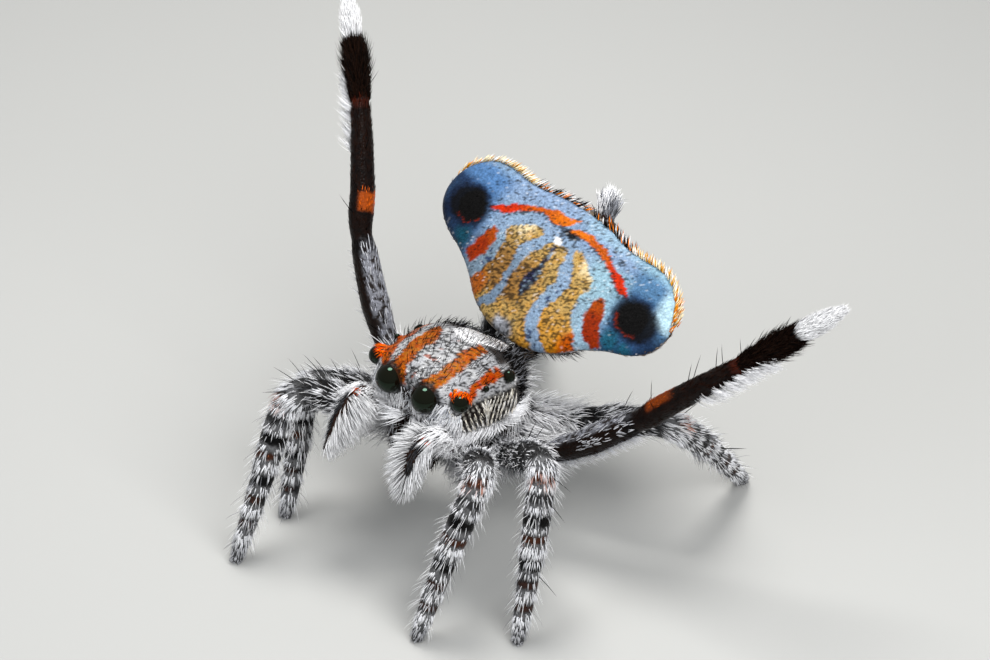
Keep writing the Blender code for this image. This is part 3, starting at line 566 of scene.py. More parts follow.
def tufts(name, roots, normals, ways, length, width, lift, places, root_colour, tip_colour, **kind):
    """Many closed tapering tufts in one mesh, each flat against the skin where it starts.

    lift is the angle off the skin at the root; bend is how much of it is left at the tip.
    """
    profile, bend, flat = kind.get("profile", HAIR_PROFILE), kind.get("bend", 0.4), kind.get("flat", 0.5)
    count = len(roots)
    length, width, lift = (np.broadcast_to(value, count)[:, None] for value in (length, width, lift))
    normals = unit(normals)
    ways = off_skin(ways, normals)
    start = np.cos(lift) * ways + np.sin(lift) * normals
    end = np.cos(bend * lift) * ways + np.sin(bend * lift) * normals
    if "pull" in kind:
        end = unit(end + kind["pull"])
    roots = roots - SUNK * normals
    bend_at = roots + 0.5 * length * start
    tip = bend_at + 0.5 * length * end
    across = unit(np.cross(normals, ways))
    root_colour, tip_colour = (np.broadcast_to(colour, (count, 3)) for colour in (root_colour, tip_colour))
    rows, shades = [], []
    for at, size in profile:
        centre = (1 - at) ** 2 * roots + 2 * at * (1 - at) * bend_at + at**2 * tip
        forward = unit((1 - at) * (bend_at - roots) + at * (tip - bend_at))
        through = np.cross(forward, across)
        through = through * np.sign((through * normals).sum(1, keepdims=True) + 1e-9)
        half = size * width
        rows += [centre + half * across, centre + flat * half * through, centre - half * across]
        shades += 3 * [mix(root_colour, tip_colour, np.full(count, at))]
    points = np.stack(rows + [tip], axis=1)
    points[..., 2] = np.maximum(points[..., 2], LOWEST)
    colours = np.stack(shades + [tip_colour], axis=1)
    each = points.shape[1]
    pattern = [(0, 1, 2)]
    for low in range(0, each - 4, 3):
        for side in range(3):
            here, after = low + side, low + (side + 1) % 3
            pattern += [(here, here + 3, after + 3), (here, after + 3, after)]
    pattern += [(each - 4 + side, each - 1, each - 4 + (side + 1) % 3) for side in range(3)]
    pattern = np.array(pattern)
    order = np.arange(count)[:, None, None]
    faces = (pattern[None] + each * order).reshape(-1, 3)
    made = mesh_object(name, points.reshape(-1, 3), faces, colours.reshape(-1, 3))
    patch = np.array([((row % 3) / 2.0 - 0.5, row / (each - 1) - 0.5) for row in range(each)])
    where = places[:, None, :] + PATCH * patch[None]
    uv = made.data.uv_layers.new(name="OFBake")
    uv.data.foreach_set("uv", where[order, pattern[None]].astype(np.float32).ravel())
    made.data.shade_smooth()
    return made


# Materials
def put(node, values):
    """Set a node's inputs, given by their names."""
    for name, value in values.items():
        node.inputs[name].default_value = value
    return node


def new_material(name, values):
    made = bpy.data.materials.new(name)
    made.use_nodes = True
    return made, made.node_tree, put(made.node_tree.nodes["Principled BSDF"], values)


def scaled_place(tree, grain, pattern):
    """A pattern node read at the object's own place, counted in grains of the given millimetres."""
    place = tree.nodes.new("ShaderNodeTexCoord")
    scaled = tree.nodes.new("ShaderNodeVectorMath")
    scaled.operation = "SCALE"
    put(scaled, {"Scale": 1 / (grain * METRES)})
    tree.links.new(place.outputs["Object"], scaled.inputs[0])
    tree.links.new(scaled.outputs["Vector"], pattern.inputs["Vector"])
    return pattern


def coat_material(name, roughness, specular, ior=1.15, metallic=0.0, speckle=0.25, grain=0.02):
    """Colour from the tufts' own colours, varied finely from place to place."""
    gloss = {"Roughness": roughness, "Specular IOR Level": specular, "IOR": ior, "Metallic": metallic}
    made, tree, shader = new_material(name, gloss)
    colour = tree.nodes.new("ShaderNodeAttribute")
    colour.attribute_name = "coat"
    grains = put(tree.nodes.new("ShaderNodeTexNoise"), {"Scale": 1.0, "Detail": 2.0})
    scaled_place(tree, grain, grains)
    limits = {"From Min": 0.3, "From Max": 0.7, "To Min": 1 - speckle, "To Max": 1 + 0.4 * speckle}
    ramp = put(tree.nodes.new("ShaderNodeMapRange"), limits)
    product = tree.nodes.new("ShaderNodeVectorMath")
    product.operation = "SCALE"
    tree.links.new(grains.outputs["Fac"], ramp.inputs["Value"])
    tree.links.new(colour.outputs["Color"], product.inputs[0])
    tree.links.new(ramp.outputs["Result"], product.inputs["Scale"])
    tree.links.new(product.outputs["Vector"], shader.inputs["Base Color"])
    return made


def skin_material():
    """Thin glossy cuticle in the colours of its markings, finely pitted."""
    made = coat_material("cuticle", 0.4, 0.3, ior=1.3, speckle=0.3, grain=0.03)
    tree = made.node_tree
    pits = scaled_place(tree, 0.03, put(tree.nodes.new("ShaderNodeTexVoronoi"), {"Scale": 1.0}))
    bump = put(tree.nodes.new("ShaderNodeBump"), {"Strength": 0.5, "Distance": 0.012 * METRES})
    tree.links.new(pits.outputs["Distance"], bump.inputs["Height"])
    tree.links.new(bump.outputs["Normal"], tree.nodes["Principled BSDF"].inputs["Normal"])
    return made


EYE_GLOSS = {
    "Base Color": (0.004, 0.0022, 0.0012, 1),
    "Roughness": 0.08,
    "IOR": 1.45,
    "Specular IOR Level": 0.32,
    "Specular Tint": (0.45, 0.95, 0.68, 1),
}

# Markings of the fan, in distances across and along it; its right side has negative ones
# Eyespots: across, along, half length, half height
EYESPOTS = ((-1.54, 0.02, 0.225, 0.215), (1.57, 0.005, 0.25, 0.21))
MEDIAN_RIGHT = (
    (-1.27, 0.16, 0.015), (-1.15, 0.20, 0.05), (-1.0, 0.28, 0.068), (-0.85, 0.38, 0.045),
    (-0.7, 0.455, 0.035), (-0.55, 0.50, 0.04), (-0.4, 0.53, 0.07), (-0.25, 0.52, 0.07),
    (-0.12, 0.555, 0.055), (0.0, 0.63, 0.025),
)
MEDIAN_LEFT = (
    (0.01, 0.475, 0.015), (0.15, 0.53, 0.045), (0.34, 0.545, 0.06), (0.52, 0.52, 0.055),
    (0.66, 0.48, 0.04), (0.88, 0.39, 0.05), (1.07, 0.30, 0.06), (1.2, 0.22, 0.05), (1.33, 0.175, 0.01),
)
TAN_PATCHES = (
    (
        (-0.86, 0.05), (-0.72, 0.17), (-0.58, 0.25), (-0.42, 0.31), (-0.30, 0.25), (-0.40, 0.12),
        (-0.50, -0.02), (-0.52, -0.2), (-0.48, -0.4), (-0.49, -0.65), (-0.55, -0.82), (-0.72, -1.02),
        (-1.0, -0.8), (-0.84, -0.58), (-0.77, -0.35), (-0.78, -0.1),
    ),
    (
        (-0.12, 0.24), (-0.22, 0.1), (-0.30, -0.05), (-0.36, -0.22), (-0.37, -0.45), (-0.34, -0.68),
        (-0.38, -0.86), (-0.62, -1.0), (-0.4, -1.25), (0.4, -1.25), (0.45, -1.02), (0.26, -0.92),
        (0.18, -0.75), (0.17, -0.5), (0.21, -0.32), (0.28, -0.15), (0.2, 0.0), (0.17, 0.15), (0.15, 0.28),
    ),
    (
        (0.24, 0.29), (0.35, 0.35), (0.45, 0.28), (0.6, 0.2), (0.74, 0.14), (0.77, 0.0), (0.72, -0.15),
        (0.73, -0.35), (0.8, -0.48), (0.93, -0.6), (1.04, -0.8), (0.95, -0.98), (0.76, -1.02),
        (0.56, -0.9), (0.41, -0.78), (0.35, -0.6), (0.38, -0.42), (0.46, -0.25), (0.5, -0.12),
        (0.42, 0.02), (0.34, 0.18),
    ),
)
OUTER_PATCHES = (
    (
        (-1.05, -0.03), (-0.95, -0.04), (-0.915, -0.15), (-0.92, -0.38), (-1.02, -0.54), (-1.1, -0.585),
        (-1.2, -0.565), (-1.27, -0.51), (-1.18, -0.36), (-1.14, -0.15),
    ),
    (
        (0.965, 0.015), (1.03, 0.03), (1.1, -0.05), (1.18, -0.28), (1.27, -0.4), (1.345, -0.49),
        (1.32, -0.57), (1.22, -0.605), (1.12, -0.575), (1.0, -0.45), (0.925, -0.28), (0.93, -0.12),
    ),
)
STREAK = (
    (-0.05, 0.2, 0.02), (-0.05, 0.0, 0.03), (-0.045, -0.16, 0.05), (-0.07, -0.3, 0.09),
    (-0.1, -0.42, 0.09), (-0.1, -0.52, 0.045), (-0.1, -0.58, 0.01),
)
# Where the median line runs: along, by the distance from the middle
MEDIAN_WIDE = (0, 0.3, 0.6, 0.9, 1.3)
MEDIAN_ALONG = (0.5, 0.53, 0.49, 0.37, 0.17)
# Painted highlight: pale blue on the upper part of the fan's left lobe's outer end
EDGE_HIGHLIGHT = srgb(184, 216, 230)
EDGE = 0.012


def ground_colour(points, u, v, wide, right, cloud):
    """Blue ground of the fan, paler in the middle and deeper at the lobes, with a painted highlight on the
    upper part of the left lobe's outer end.
    """
    near = step(wide, 0.45, 0.75) * step(wide, 1.42, 1.25) * step(v, -0.35, -0.1) * step(v, 0.5, 0.35)
    outer = step(wide, 1.02, 1.4)
    low = step(wide, 1.22, 1.42) * step(v, 0.02, -0.2)
    teal = step(np.hypot(wide - 1.43, v + 0.38), 0.22, 0.06)
    teal = np.maximum(teal, step(np.hypot(u - 1.7, v + 0.4), 0.16, 0.04))
    strip = step(wide, 0.74, 0.8) * step(v, 0.05, -0.1) * step(wide + 0.55 * v, 0.95, 0.85)
    colour = lay(
        mix(PALE_BLUE, LAVENDER, 0.3 + 0.5 * cloud),
        (LAVENDER, step(v, 0.3, 0.5)),
        (mix(PALE_CYAN, LAVENDER, 0.5 * cloud), 0.6 * step(v, 0.55, 0.7) * step(u, -0.2, 0.3)),
        (PALE_CYAN, 0.75 * near * (1 - right)),
        (mix(SKY, BLUE, right), outer),
        (mix(PALE_CYAN, PALE_BLUE, right), 0.6 * outer * step(v, 0.52, 0.70)),
        (DEEP_BLUE, 0.7 * step(wide, 1.25, 1.45) * step(np.abs(v - 0.27), 0.1, 0.02)),
        (mix(DEEP_BLUE, NAVY, 0.5 * right + 0.2 * cloud), 0.85 * low),
        (NAVY, 0.8 * right * step(wide, 1.68, 1.88) * step(v, 0.45, 0.2)),
        (NAVY, 0.55 * (1 - right) * step(wide, 1.8, 2.02) * step(v, 0.15, -0.1)),
        # painted highlight on the upper part of the left lobe's outer end
        (EDGE_HIGHLIGHT, 0.95 * (1 - right) * step(wide, 1.7, 1.92) * step(v, 0.02, 0.15)),
        (TEAL, 0.75 * teal),
        (mix(PALE_BLUE, PALE_CYAN, 0.4 * (1 - right)), 0.8 * strip),
    )
    return colour * (1 - 0.35 * right * step(v, 0.0, -0.3))[:, None]


def tan_colour(points, u, v, wide, right_low, left_low):
    """Colour of the tan patches, warmer at their lower ends."""
    warm = 0.3 * step(noise(points, 0.05, 6), 0.5, 0.75) + 0.6 * step(v, -0.3, -0.8) * step(u, 0.0, 0.4)
    return lay(
        mix(TAN, CREAM, 0.85 * step(v, 0.02, 0.22) * step(wide, 0.42, 0.55)),
        (YELLOW_ORANGE, warm),
        (BROWN, 0.75 * step(v, 0.1, -0.3) * step(v, -0.85, -0.65) * step(u, 0.25, -0.3)),
        (mix(YELLOW_ORANGE, RUST, 0.45 + 0.45 * right_low), 0.9 * right_low),
        (mix(YELLOW_ORANGE, FAN_ORANGE, step(u, 0.66, 0.9)), left_low),
    )


def fan_colour(points):
    """Colours of the fan's face, with its black scales and painted glints, from the place across and along
    it.
    """
    place = fan_place(points)
    u = place[:, 0] + ragged(points, (0.04, 0.035, 2), (0.05, 0.09, 1))
    v = place[:, 1] + ragged(points, (0.04, 0.03, 5), (0.05, 0.1, 3))
    wide = np.abs(u)
    right = step(u, 0.1, -0.1)
    cloud = noise(points, 0.13, 4)
    colour = ground_colour(points, u, v, wide, right, cloud)
    dark = 0.05 + 0.06 * step(v, 0.3, 0.5) * step(wide, 1.3, 0.9)
    dark = dark * step(wide, 1.75, 1.2) + 0.02

    tan_skin = np.max([inside(u, v, corners) for corners in TAN_PATCHES], axis=0)
    right_low = step(np.hypot(u + 0.86, v + 0.76), 0.28, 0.14)
    left_low = step(u - 0.62 - 0.5 * (v + 0.8), 0.0, 0.24) * step(v, -0.5, -0.62)
    cover = step(tan_skin, -EDGE, EDGE)
    colour = mix(colour, tan_colour(points, u, v, wide, right_low, left_low), cover)
    peppered = 0.38 - 0.22 * step(v, 0.0, 0.2) - 0.16 * np.maximum(right_low, left_low)
    dark = dark * (1 - cover) + cover * peppered

    cover = step(np.max([inside(u, v, corners) for corners in OUTER_PATCHES], axis=0), -EDGE, EDGE)
    warm = np.clip(0.7 * step(wide, 1.0, 0.93) + 0.9 * step(v, -0.3, -0.08) + 0.2 * cloud, 0, 1)
    dark = dark * (1 - cover) + 0.05 * cover
    plain = 1 - cover
    spots = (noise(points, 0.07, 7) > 0.78) & (wide < 1.0) & (v < 0.05) & (tan_skin < 0)
    colour = lay(colour, (mix(RED_ORANGE, RUST, warm), cover), (DARK_BLUE, 0.85 * spots))
    for middle, size in (((1.26, -0.22), 0.07), ((0.95, 0.52), 0.06), ((1.13, 0.36), 0.03)):
        dark = dark + 0.4 * step(np.hypot(u - middle[0], v - middle[1]), size, 0.4 * size)

    streak = ribbon(u, v, STREAK)
    grainy = mix(DARK_BLUE, PALE_BLUE, 0.75 * step(noise(points, 0.04, 8), 0.45, 0.65))
    centre = np.hypot((u + 0.05) / 0.075, (v - 0.3) / 0.055)
    junction = np.hypot((u - 0.03) / 0.15, (v - 0.44) / 0.05)
    colour = lay(
        colour,
        (grainy, 0.95 * step(streak, -0.015, 0.015)),
        (BLACK, 0.95 * step(junction, 1.15, 0.85)),
        (BLACK, 0.9 * step(ribbon(u, v, ((-0.1, 0.2, 0.015), (0.13, 0.26, 0.015))), -0.015, 0.01)),
        (WHITE, step(centre, 1.1, 0.8)),
    )
    dark = dark + 0.35 * step(streak, -0.05, 0.0)
    dark = dark + 0.45 * step(np.hypot((u - 0.02) / 0.26, (v - 0.37) / 0.13), 1.0, 0.5)
    dark = dark * (1 - step(centre, 1.2, 0.9))

    line = np.maximum(ribbon(u, v, MEDIAN_RIGHT), ribbon(u, v, MEDIAN_LEFT))
    below = step(v - np.interp(wide, MEDIAN_WIDE, MEDIAN_ALONG), 0.02, -0.02)
    dark = dark + 0.55 * step(line, -0.06, -0.01) * below
    band = mix(mix(ORANGE, FAN_ORANGE, 0.4 + 0.6 * step(wide, 0.25, 0.45)), FAN_RED, step(wide, 0.66, 0.95))
    cover = step(line, -0.01, 0.01)
    colour = mix(colour, band, cover)
    dark = dark * (1 - cover) + cover * (0.03 + 0.25 * below * step(line, 0.04, 0.0))

    # Where painted glints may fall: kept off the eyespots and their surroundings
    glint_room = np.ones(len(points))
    for across, along, long, tall in EYESPOTS:
        side = math.copysign(1.0, across)
        halo = np.hypot((u - across - 0.05 * side) / (long + 0.05), (v - along) / tall)
        reach = np.hypot((u - across) / long, (v - along) / tall)
        under = step((v - along) / tall + 0.4 * side * (u - across) / long, -0.45, -0.8)
        colour = lay(
            colour,
            (NAVY, 0.8 * step(halo, 1.55, 1.2)),
            (BLACK, 0.92 * step(halo, 1.3, 1.02)),
            (RED_ORANGE, 0.65 * under * step(reach, 1.09, 1.03)),
            (BLACK, step(reach, 1.04, 0.94)),
        )
        dark = dark * step(reach, 1.0, 1.3)
        glint_room = glint_room * step(reach, 1.5, 1.8)
    base = step(np.hypot(u + 0.1, (v + 1.06) * 1.3), 0.24, 0.12)
    colour = mix(colour, mix(MID_GREY, PALE_GREY, cloud), base)
    across = place[:, 0] + fan_lean(place[:, 0]) * place[:, 1]
    v = place[:, 1]
    colour = colour * (0.75 + 0.45 * cells(across, v, 0.012, 0.026, 2))[:, None]
    # Painted highlight: a few scales of the ground painted towards white as glints
    painted_glint = (cells(across, v, 0.011, 0.024, 1) > 0.955) * step(wide, 1.9, 1.5) * (line < -0.02)
    painted_glint = painted_glint * plain * (1 - base)
    colour = mix(colour, WHITE, 0.3 * painted_glint * (v > -0.9) * glint_room)
    return mix(colour, BLACK, 0.78 * (cells(across, v, 0.011, 0.021) < dark))


FAN_BACK = srgb(128, 112, 96)


def abdomen_colour(points):
    base = mix(FAN_BACK, DARK_BROWN, 0.7 * step(noise(points, 0.12, 9), 0.45, 0.7))
    return mix(base, PALE_GREY, 0.8 * step(noise(points, 0.05, 10), 0.55, 0.75))


# Markings of the head shell, in degrees round it and the place along it; its right is past 90
DEGREE = 0.0145


def in_degrees(*corners):
    return [(angle * DEGREE, along) for angle, along in corners]


RIGHT_BAND = in_degrees(
    (96, -1.18), (97, -0.9), (98, -0.7), (94.5, -0.55), (97, -0.4), (103, -0.26), (110, -0.16),
    (113, -0.3), (114, -0.5), (115, -0.7), (113, -0.9), (121, -1.1), (118, -1.18),
)
LEFT_BAND = in_degrees(
    (46, -1.12), (52, -0.97), (53, -0.82), (56, -0.6), (57, -0.45), (59, -0.3), (60, -0.1), (70, -0.1),
    (72, -0.3), (72, -0.5), (70, -0.65), (69, -0.85), (70, -1.0), (72, -1.16),
)
EDGE_BAND = in_degrees(
    (17, -0.7), (19, -0.82), (27, -0.95), (34, -0.9), (34, -0.72), (38, -0.6), (39, -0.45), (43, -0.3),
    (44, -0.15), (32, -0.14), (27, -0.3), (28, -0.45), (26, -0.6),
)
WEDGE = in_degrees(
    (76, -0.26), (72, -0.12), (62, 0.12), (60, 0.35), (72, 0.62), (104, 0.62), (102, 0.3), (100, 0.1),
    (98, -0.17), (88, -0.28),
)


def mirror_angle(angle):
    return np.where(np.abs(angle) > 90, np.copysign(180.0, angle) - angle, angle)


def flank_lines(points):
    """Where the flank's pale lines run, above 0 in a line, and how they lean as they go down."""
    angle, along = shell_place(points)
    turn = (mirror_angle(angle) + 12) / 18
    rear = step(along, -0.6, -0.4)
    line = along - 0.07 * turn**2 * rear + 0.09 * turn * (1 - rear)
    lean = 0.34 * (1 - rear) - 0.53 * turn * rear
    return np.sin(2 * math.pi * line / 0.08 + 4 * noise(points, 0.3, 15) + 1.5 * noise(points, 0.1, 30)), lean


def shell_colour(points):
    """Colours of the head shell with its black scales: pale bands between orange ones."""
    angle, along = shell_place(points)
    rough = ragged(points, (0.05, 0.05, 13), (0.03, 0.025, 14))
    q = angle * DEGREE + rough
    y = along + rough
    folded = mirror_angle(angle)
    cloud = noise(points, 0.05, 11)
    dark = np.where((angle > 70) & (angle < 97), 0.34, 0.26)
    spot = step(noise(points, 0.07, 16), 0.72, 0.8) * step(np.abs(angle - 84), 16, 12)
    yellow = 0.5 * step(noise(points, 0.03, 18), 0.55, 0.7)
    orange = mix(mix(ORANGE, BURNT_ORANGE, cloud), YELLOW_ORANGE, yellow)
    bands = step(np.maximum(inside(q, y, RIGHT_BAND), inside(q, y, LEFT_BAND)), -EDGE, EDGE)
    dark = dark * (1 - bands) + bands * (0.14 + 0.2 * step(y, -0.5, -0.2))
    edge = inside(folded * DEGREE + rough, y, EDGE_BAND)
    broken = step(noise(points, 0.06, 17), 0.15, 0.25) + step(y, -0.72, -0.8)
    cover = step(edge, -0.01, 0.015) * np.clip(broken, 0, 1)
    dark = dark * (1 - cover) + 0.12 * cover
    far = step(angle + 10 * noise(points, 0.07, 20), 129, 134) * step(angle, 150, 144) * step(y, 0.12, 0.0)
    rear = np.maximum(step(y, -0.14, -0.02) * step(folded, 38, 46), step(y, 0.02, 0.14))
    wedge = step(inside(q, y, WEDGE), -0.02, 0.015)
    dark = dark * (1 - np.maximum(rear, wedge)) + 0.02
    flank = step(folded, 20, 12) * step(y, -1.02, -0.9)
    dark = dark * (1 - flank)
    streak = step(flank_lines(points)[0], 0.65, 0.9) * step(y, 0.12, 0.0)
    colour = lay(
        mix(WHITE, PALE_GREY, 0.5 * step(noise(points, 0.07, 12), 0.3, 0.7)),
        (BURNT_ORANGE, 0.8 * spot),
        (orange, bands),
        (mix(RED, ORANGE, cloud), cover),
        (mix(ORANGE, RED, 0.6 * cloud), far),
        (mix(BLACK, DARK_BROWN, cloud), 0.96 * rear),
        (WHITE, wedge),
        (WHITE, 0.9 * step(np.hypot((folded - 19) / 9, (y - 0.1) / 0.07), 1.2, 0.7)),
        (mix(mix(DARK_BROWN, BLACK, 0.5), mix(CREAM, WHITE, 0.6), streak), flank),
        (mix(MID_GREY, PALE_GREY, cloud), step(y, -1.02, -1.1) * step(points[:, 2], 2.66, 2.58)),
        (WHITE, step(folded, -38, -48)),
        (WHITE, step(y, -0.95, -1.03) * step(folded, 6, -4)),
    )
    for _, centre, radius, _ in eye_places():
        apart = np.linalg.norm(points - centre, axis=1) / radius
        colour = mix(colour, BLACK, 0.9 * (step(apart, 1.25, 1.12) * (1 - 0.8 * step(edge, 0.0, 0.02))))
    colour = colour * (0.8 + 0.3 * cells(q, along, 0.012, 0.026, 3))[:, None]
    return mix(colour, BLACK, 0.92 * (cells(q, along, 0.0125, 0.028, 4) < dark))


# Markings of the legs. f is the place from the knee (0) to the toe (1)
# Dark rings: middle, half width, depth
RINGS = (
    (0.0, 0.035, 0.8), (0.2, 0.018, 0.8), (0.315, 0.026, 1.0), (0.41, 0.018, 0.85), (0.555, 0.027, 1.0),
    (0.66, 0.02, 0.9), (0.79, 0.022, 0.9),
)
TAWNY_RINGS = ((0.1, 1.0), (0.41, 0.8), (0.66, 0.45), (0.79, 0.45))
LEG_PALE = srgb(214, 215, 220)
LEG_TAWNY = srgb(168, 84, 24)


def below_knee(place):
    return np.interp(place, (2.0, 3.0, 4.0, 5.0), (0.0, 0.1, 0.56, 1.0))


def leg_rings(f):
    """How dark, and how tawny, each place below the knee is."""
    dark = [depth * step(np.abs(f - middle), half + 0.014, half - 0.006) for middle, half, depth in RINGS]
    tawny = [share * step(np.abs(f - middle), 0.022, 0.01) for middle, share in TAWNY_RINGS]
    return np.max(dark, axis=0), np.max(tawny, axis=0)


def leg_colour(points, place, angle):
    """Pale hair between dark rings, with tawny spots on the upper side, and a mottled thigh."""
    speck = noise(points, 0.04, 21)
    front = np.sin(2 * math.pi * angle)
    f = below_knee(place)
    dark, tawny = leg_rings(f + 0.014 * (speck - 0.5))
    pale = mix(WHITE, LEG_PALE, noise(points, 0.025, 22))
    pale = mix(pale, MID_GREY, 0.6 * step(f, 0.86, 0.92))
    colour = mix(pale, BLACK, dark)
    upper = step(front, -0.3, 0.3) * np.where(f < 0.2, step(np.abs(4 * angle - 1.0), 0.7, 0.4), 1.0)
    colour = mix(colour, LEG_TAWNY, 0.9 * tawny * upper)
    patch = step(np.abs(place - 1.3), 0.2, 0.12) + step(np.abs(place - 1.8), 0.2, 0.12)
    thigh = mix(pale, BLACK, 0.9 * np.maximum(patch * step(speck, 0.2, 0.4), step(speck, 0.62, 0.7)))
    return mix(colour, thigh, step(place, 2.0, 1.95))


def mirrored(points, way):
    """A way given for the animal's left, turned round on its right."""
    sign = np.sign(points[:, :1])
    return np.asarray(way) * np.hstack([sign, sign**2, sign**2])


def raised_colour(points, normals, place):
    """Dark brown to the black brush, pale on the back of the thigh, with a tawny patch past the knee."""
    cloud = noise(points, 0.045, 24)
    sign = np.sign(points[:, 0])
    back = (normals * mirrored(points, (-0.6, 0.45, 0.65))).sum(axis=1)
    left = step(sign, -0.5, 0.5)
    patch = step(np.abs(place - 2.68 - 0.17 * left), 0.22 + 0.14 * left, 0.14 + 0.1 * left)
    colour = lay(
        mix(srgb(44, 22, 12), BLACK, 0.3 + 0.7 * cloud),
        (mix(srgb(200, 88, 18), srgb(150, 66, 18), left), 0.95 * (patch * step(back + 0.4 * left, 0.2, 0.5))),
        (srgb(76, 28, 14), 0.7 * step(np.abs(place - 3.96), 0.07, 0.03)),
        (BLACK, 0.9 * step(place, 4.03, 4.12)),
        (WHITE, step(place, 4.56, 4.6)),
    )
    thigh = lay(
        mix(DARK_BROWN, BLACK, 0.5),
        (mix(srgb(164, 166, 176), srgb(50, 44, 42), step(cloud, 0.45, 0.62)), step(back, 0.0, 0.4)),
        (BLACK, 0.85 * step(place, 1.82, 1.92)),
    )
    return mix(colour, thigh, step(place, 2.02, 1.97))


# The skin
def make_skin():
    """Points, triangles, tags and ways of one even skin round all the source surfaces."""
    source = skin_sources()
    points, tags, ways = (np.concatenate(rows) for rows in (source.points, source.tags, source.ways))
    mesh = bpy.data.meshes.new("skin")
    mesh.from_pydata(points.tolist(), [], source.faces)
    rough = linked(bpy.data.objects.new("skin_source", mesh))
    remesh = rough.modifiers.new("whole", "REMESH")
    remesh.mode = "VOXEL"
    remesh.voxel_size = SKIN_GRAIN
    even = rough.modifiers.new("even", "SMOOTH")
    even.factor = 0.5
    even.iterations = 3
    whole = bpy.data.meshes.new_from_object(rough.evaluated_get(bpy.context.evaluated_depsgraph_get()))
    bpy.data.objects.remove(rough)
    places = np.zeros(3 * len(whole.vertices), np.float32)
    whole.vertices.foreach_get("co", places)
    places = places.reshape(-1, 3).astype(float)
    tree = KDTree(len(points))
    for index, point in enumerate(points.tolist()):
        tree.insert(point, index)
    tree.balance()
    nearest = np.array([tree.find(place)[1] for place in places.tolist()])
    whole.calc_loop_triangles()
    corners = np.zeros(3 * len(whole.loop_triangles), np.int32)
    whole.loop_triangles.foreach_get("vertices", corners)
    places[:, 2] = np.maximum(places[:, 2], LOWEST_SKIN)
    return places, corners.reshape(-1, 3), tags[nearest], ways[nearest]


def skin_colours():
    """The skin's colours: its coat's markings, darkened so that gaps in the coat read as shade."""
    part = TAGS[:, 0].round().astype(int)
    colours = np.tile(DARK_BROWN, (len(POINTS), 1))
    chosen = part == SHELL
    colours[chosen] = 0.4 * shell_colour(POINTS[chosen])
    chosen = (part == UNDER) | (part == JAW)
    colours[chosen] = mix(DARK_BROWN, BLACK, 0.6 * noise(POINTS[chosen], 0.1, 31))
    fan = (part == FAN) | (part == EGG)
    face = fan_place(POINTS)[:, 2] > FAN_LEVEL
    colours[fan & face] = 0.7 * fan_colour(POINTS[fan & face])
    colours[fan & ~face] = 0.6 * abdomen_colour(POINTS[fan & ~face])
    for number, name in enumerate(LEG_NAMES):
        chosen = part == LEG + number
        place, angle = TAGS[chosen, 1], TAGS[chosen, 2]
        if name in RAISED:
            colours[chosen] = 0.4 * raised_colour(POINTS[chosen], VERTEX_NORMALS[chosen], place)
        else:
            share = np.where(place < 2.1, 0.06, 0.12)[:, None]
            colours[chosen] = share * leg_colour(POINTS[chosen], place, angle)
    return colours


# Unwraps of the skin, one for each kind of coat piece
def fan_unwrap(points, tags):
    place = fan_place(points)
    return np.stack([0.5 + place[:, 0] / 4.6, 0.5 + (place[:, 1] + 0.15) / 2.5], axis=1)


def shell_unwrap(points, tags):
    angle, along = shell_place(points)
    return np.stack([(angle % 360) / 360, np.clip((along + 1.3) / 2.3, 0, 1)], axis=1)


def limb_unwrap(points, tags):
    """A row for each limb, the place along it by the angle round it."""
    row = (tags[:, 0].round() + (points[:, 0] < 0)) % 4
    along = 0.02 + 0.96 * np.clip(tags[:, 1] / 5.1, 0, 1)
    return np.stack([along, (row + 0.03 + 0.94 * tags[:, 2]) / 4], axis=1)


SKIN_GRAIN = 0.0315
LOWEST_SKIN = 0.002
POINTS, CORNERS, TAGS, WAYS = make_skin()
EDGES = POINTS[CORNERS]
CROSS = np.cross(EDGES[:, 1] - EDGES[:, 0], EDGES[:, 2] - EDGES[:, 0])
FACE_NORMALS = unit(CROSS)
VERTEX_NORMALS = np.zeros_like(POINTS)
for corner in range(3):
    np.add.at(VERTEX_NORMALS, CORNERS[:, corner], CROSS)
VERTEX_NORMALS = unit(VERTEX_NORMALS)
skin = mesh_object("skin", POINTS, CORNERS, skin_colours())
skin.data.shade_smooth()
skin.data.materials.append(skin_material())
FLESH = [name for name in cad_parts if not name.startswith("eye_")]
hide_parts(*FLESH)

PIECES = [skin]

# The skin's triangles: middles, part numbers, places and angles, and room for roots outside the eyes
MIDDLES = EDGES.mean(axis=1)
FACE_Y, FACE_Z = MIDDLES[:, 1], MIDDLES[:, 2]
PART = TAGS[CORNERS[:, 0], 0].round().astype(int)
FACE_ALONG = TAGS[CORNERS[:, 0], 1]
FACE_PLACE = fan_place(MIDDLES)
FACING = FACE_NORMALS @ FAN_OUT
FACE_ANGLE = shell_place(MIDDLES)[0]
LENS_ROOM = 1.03
ROOM = np.linalg.norm(CROSS, axis=1) / 2
for _, centre, radius, _ in eye_places():
    ROOM *= np.linalg.norm(MIDDLES - centre, axis=1) > LENS_ROOM * radius


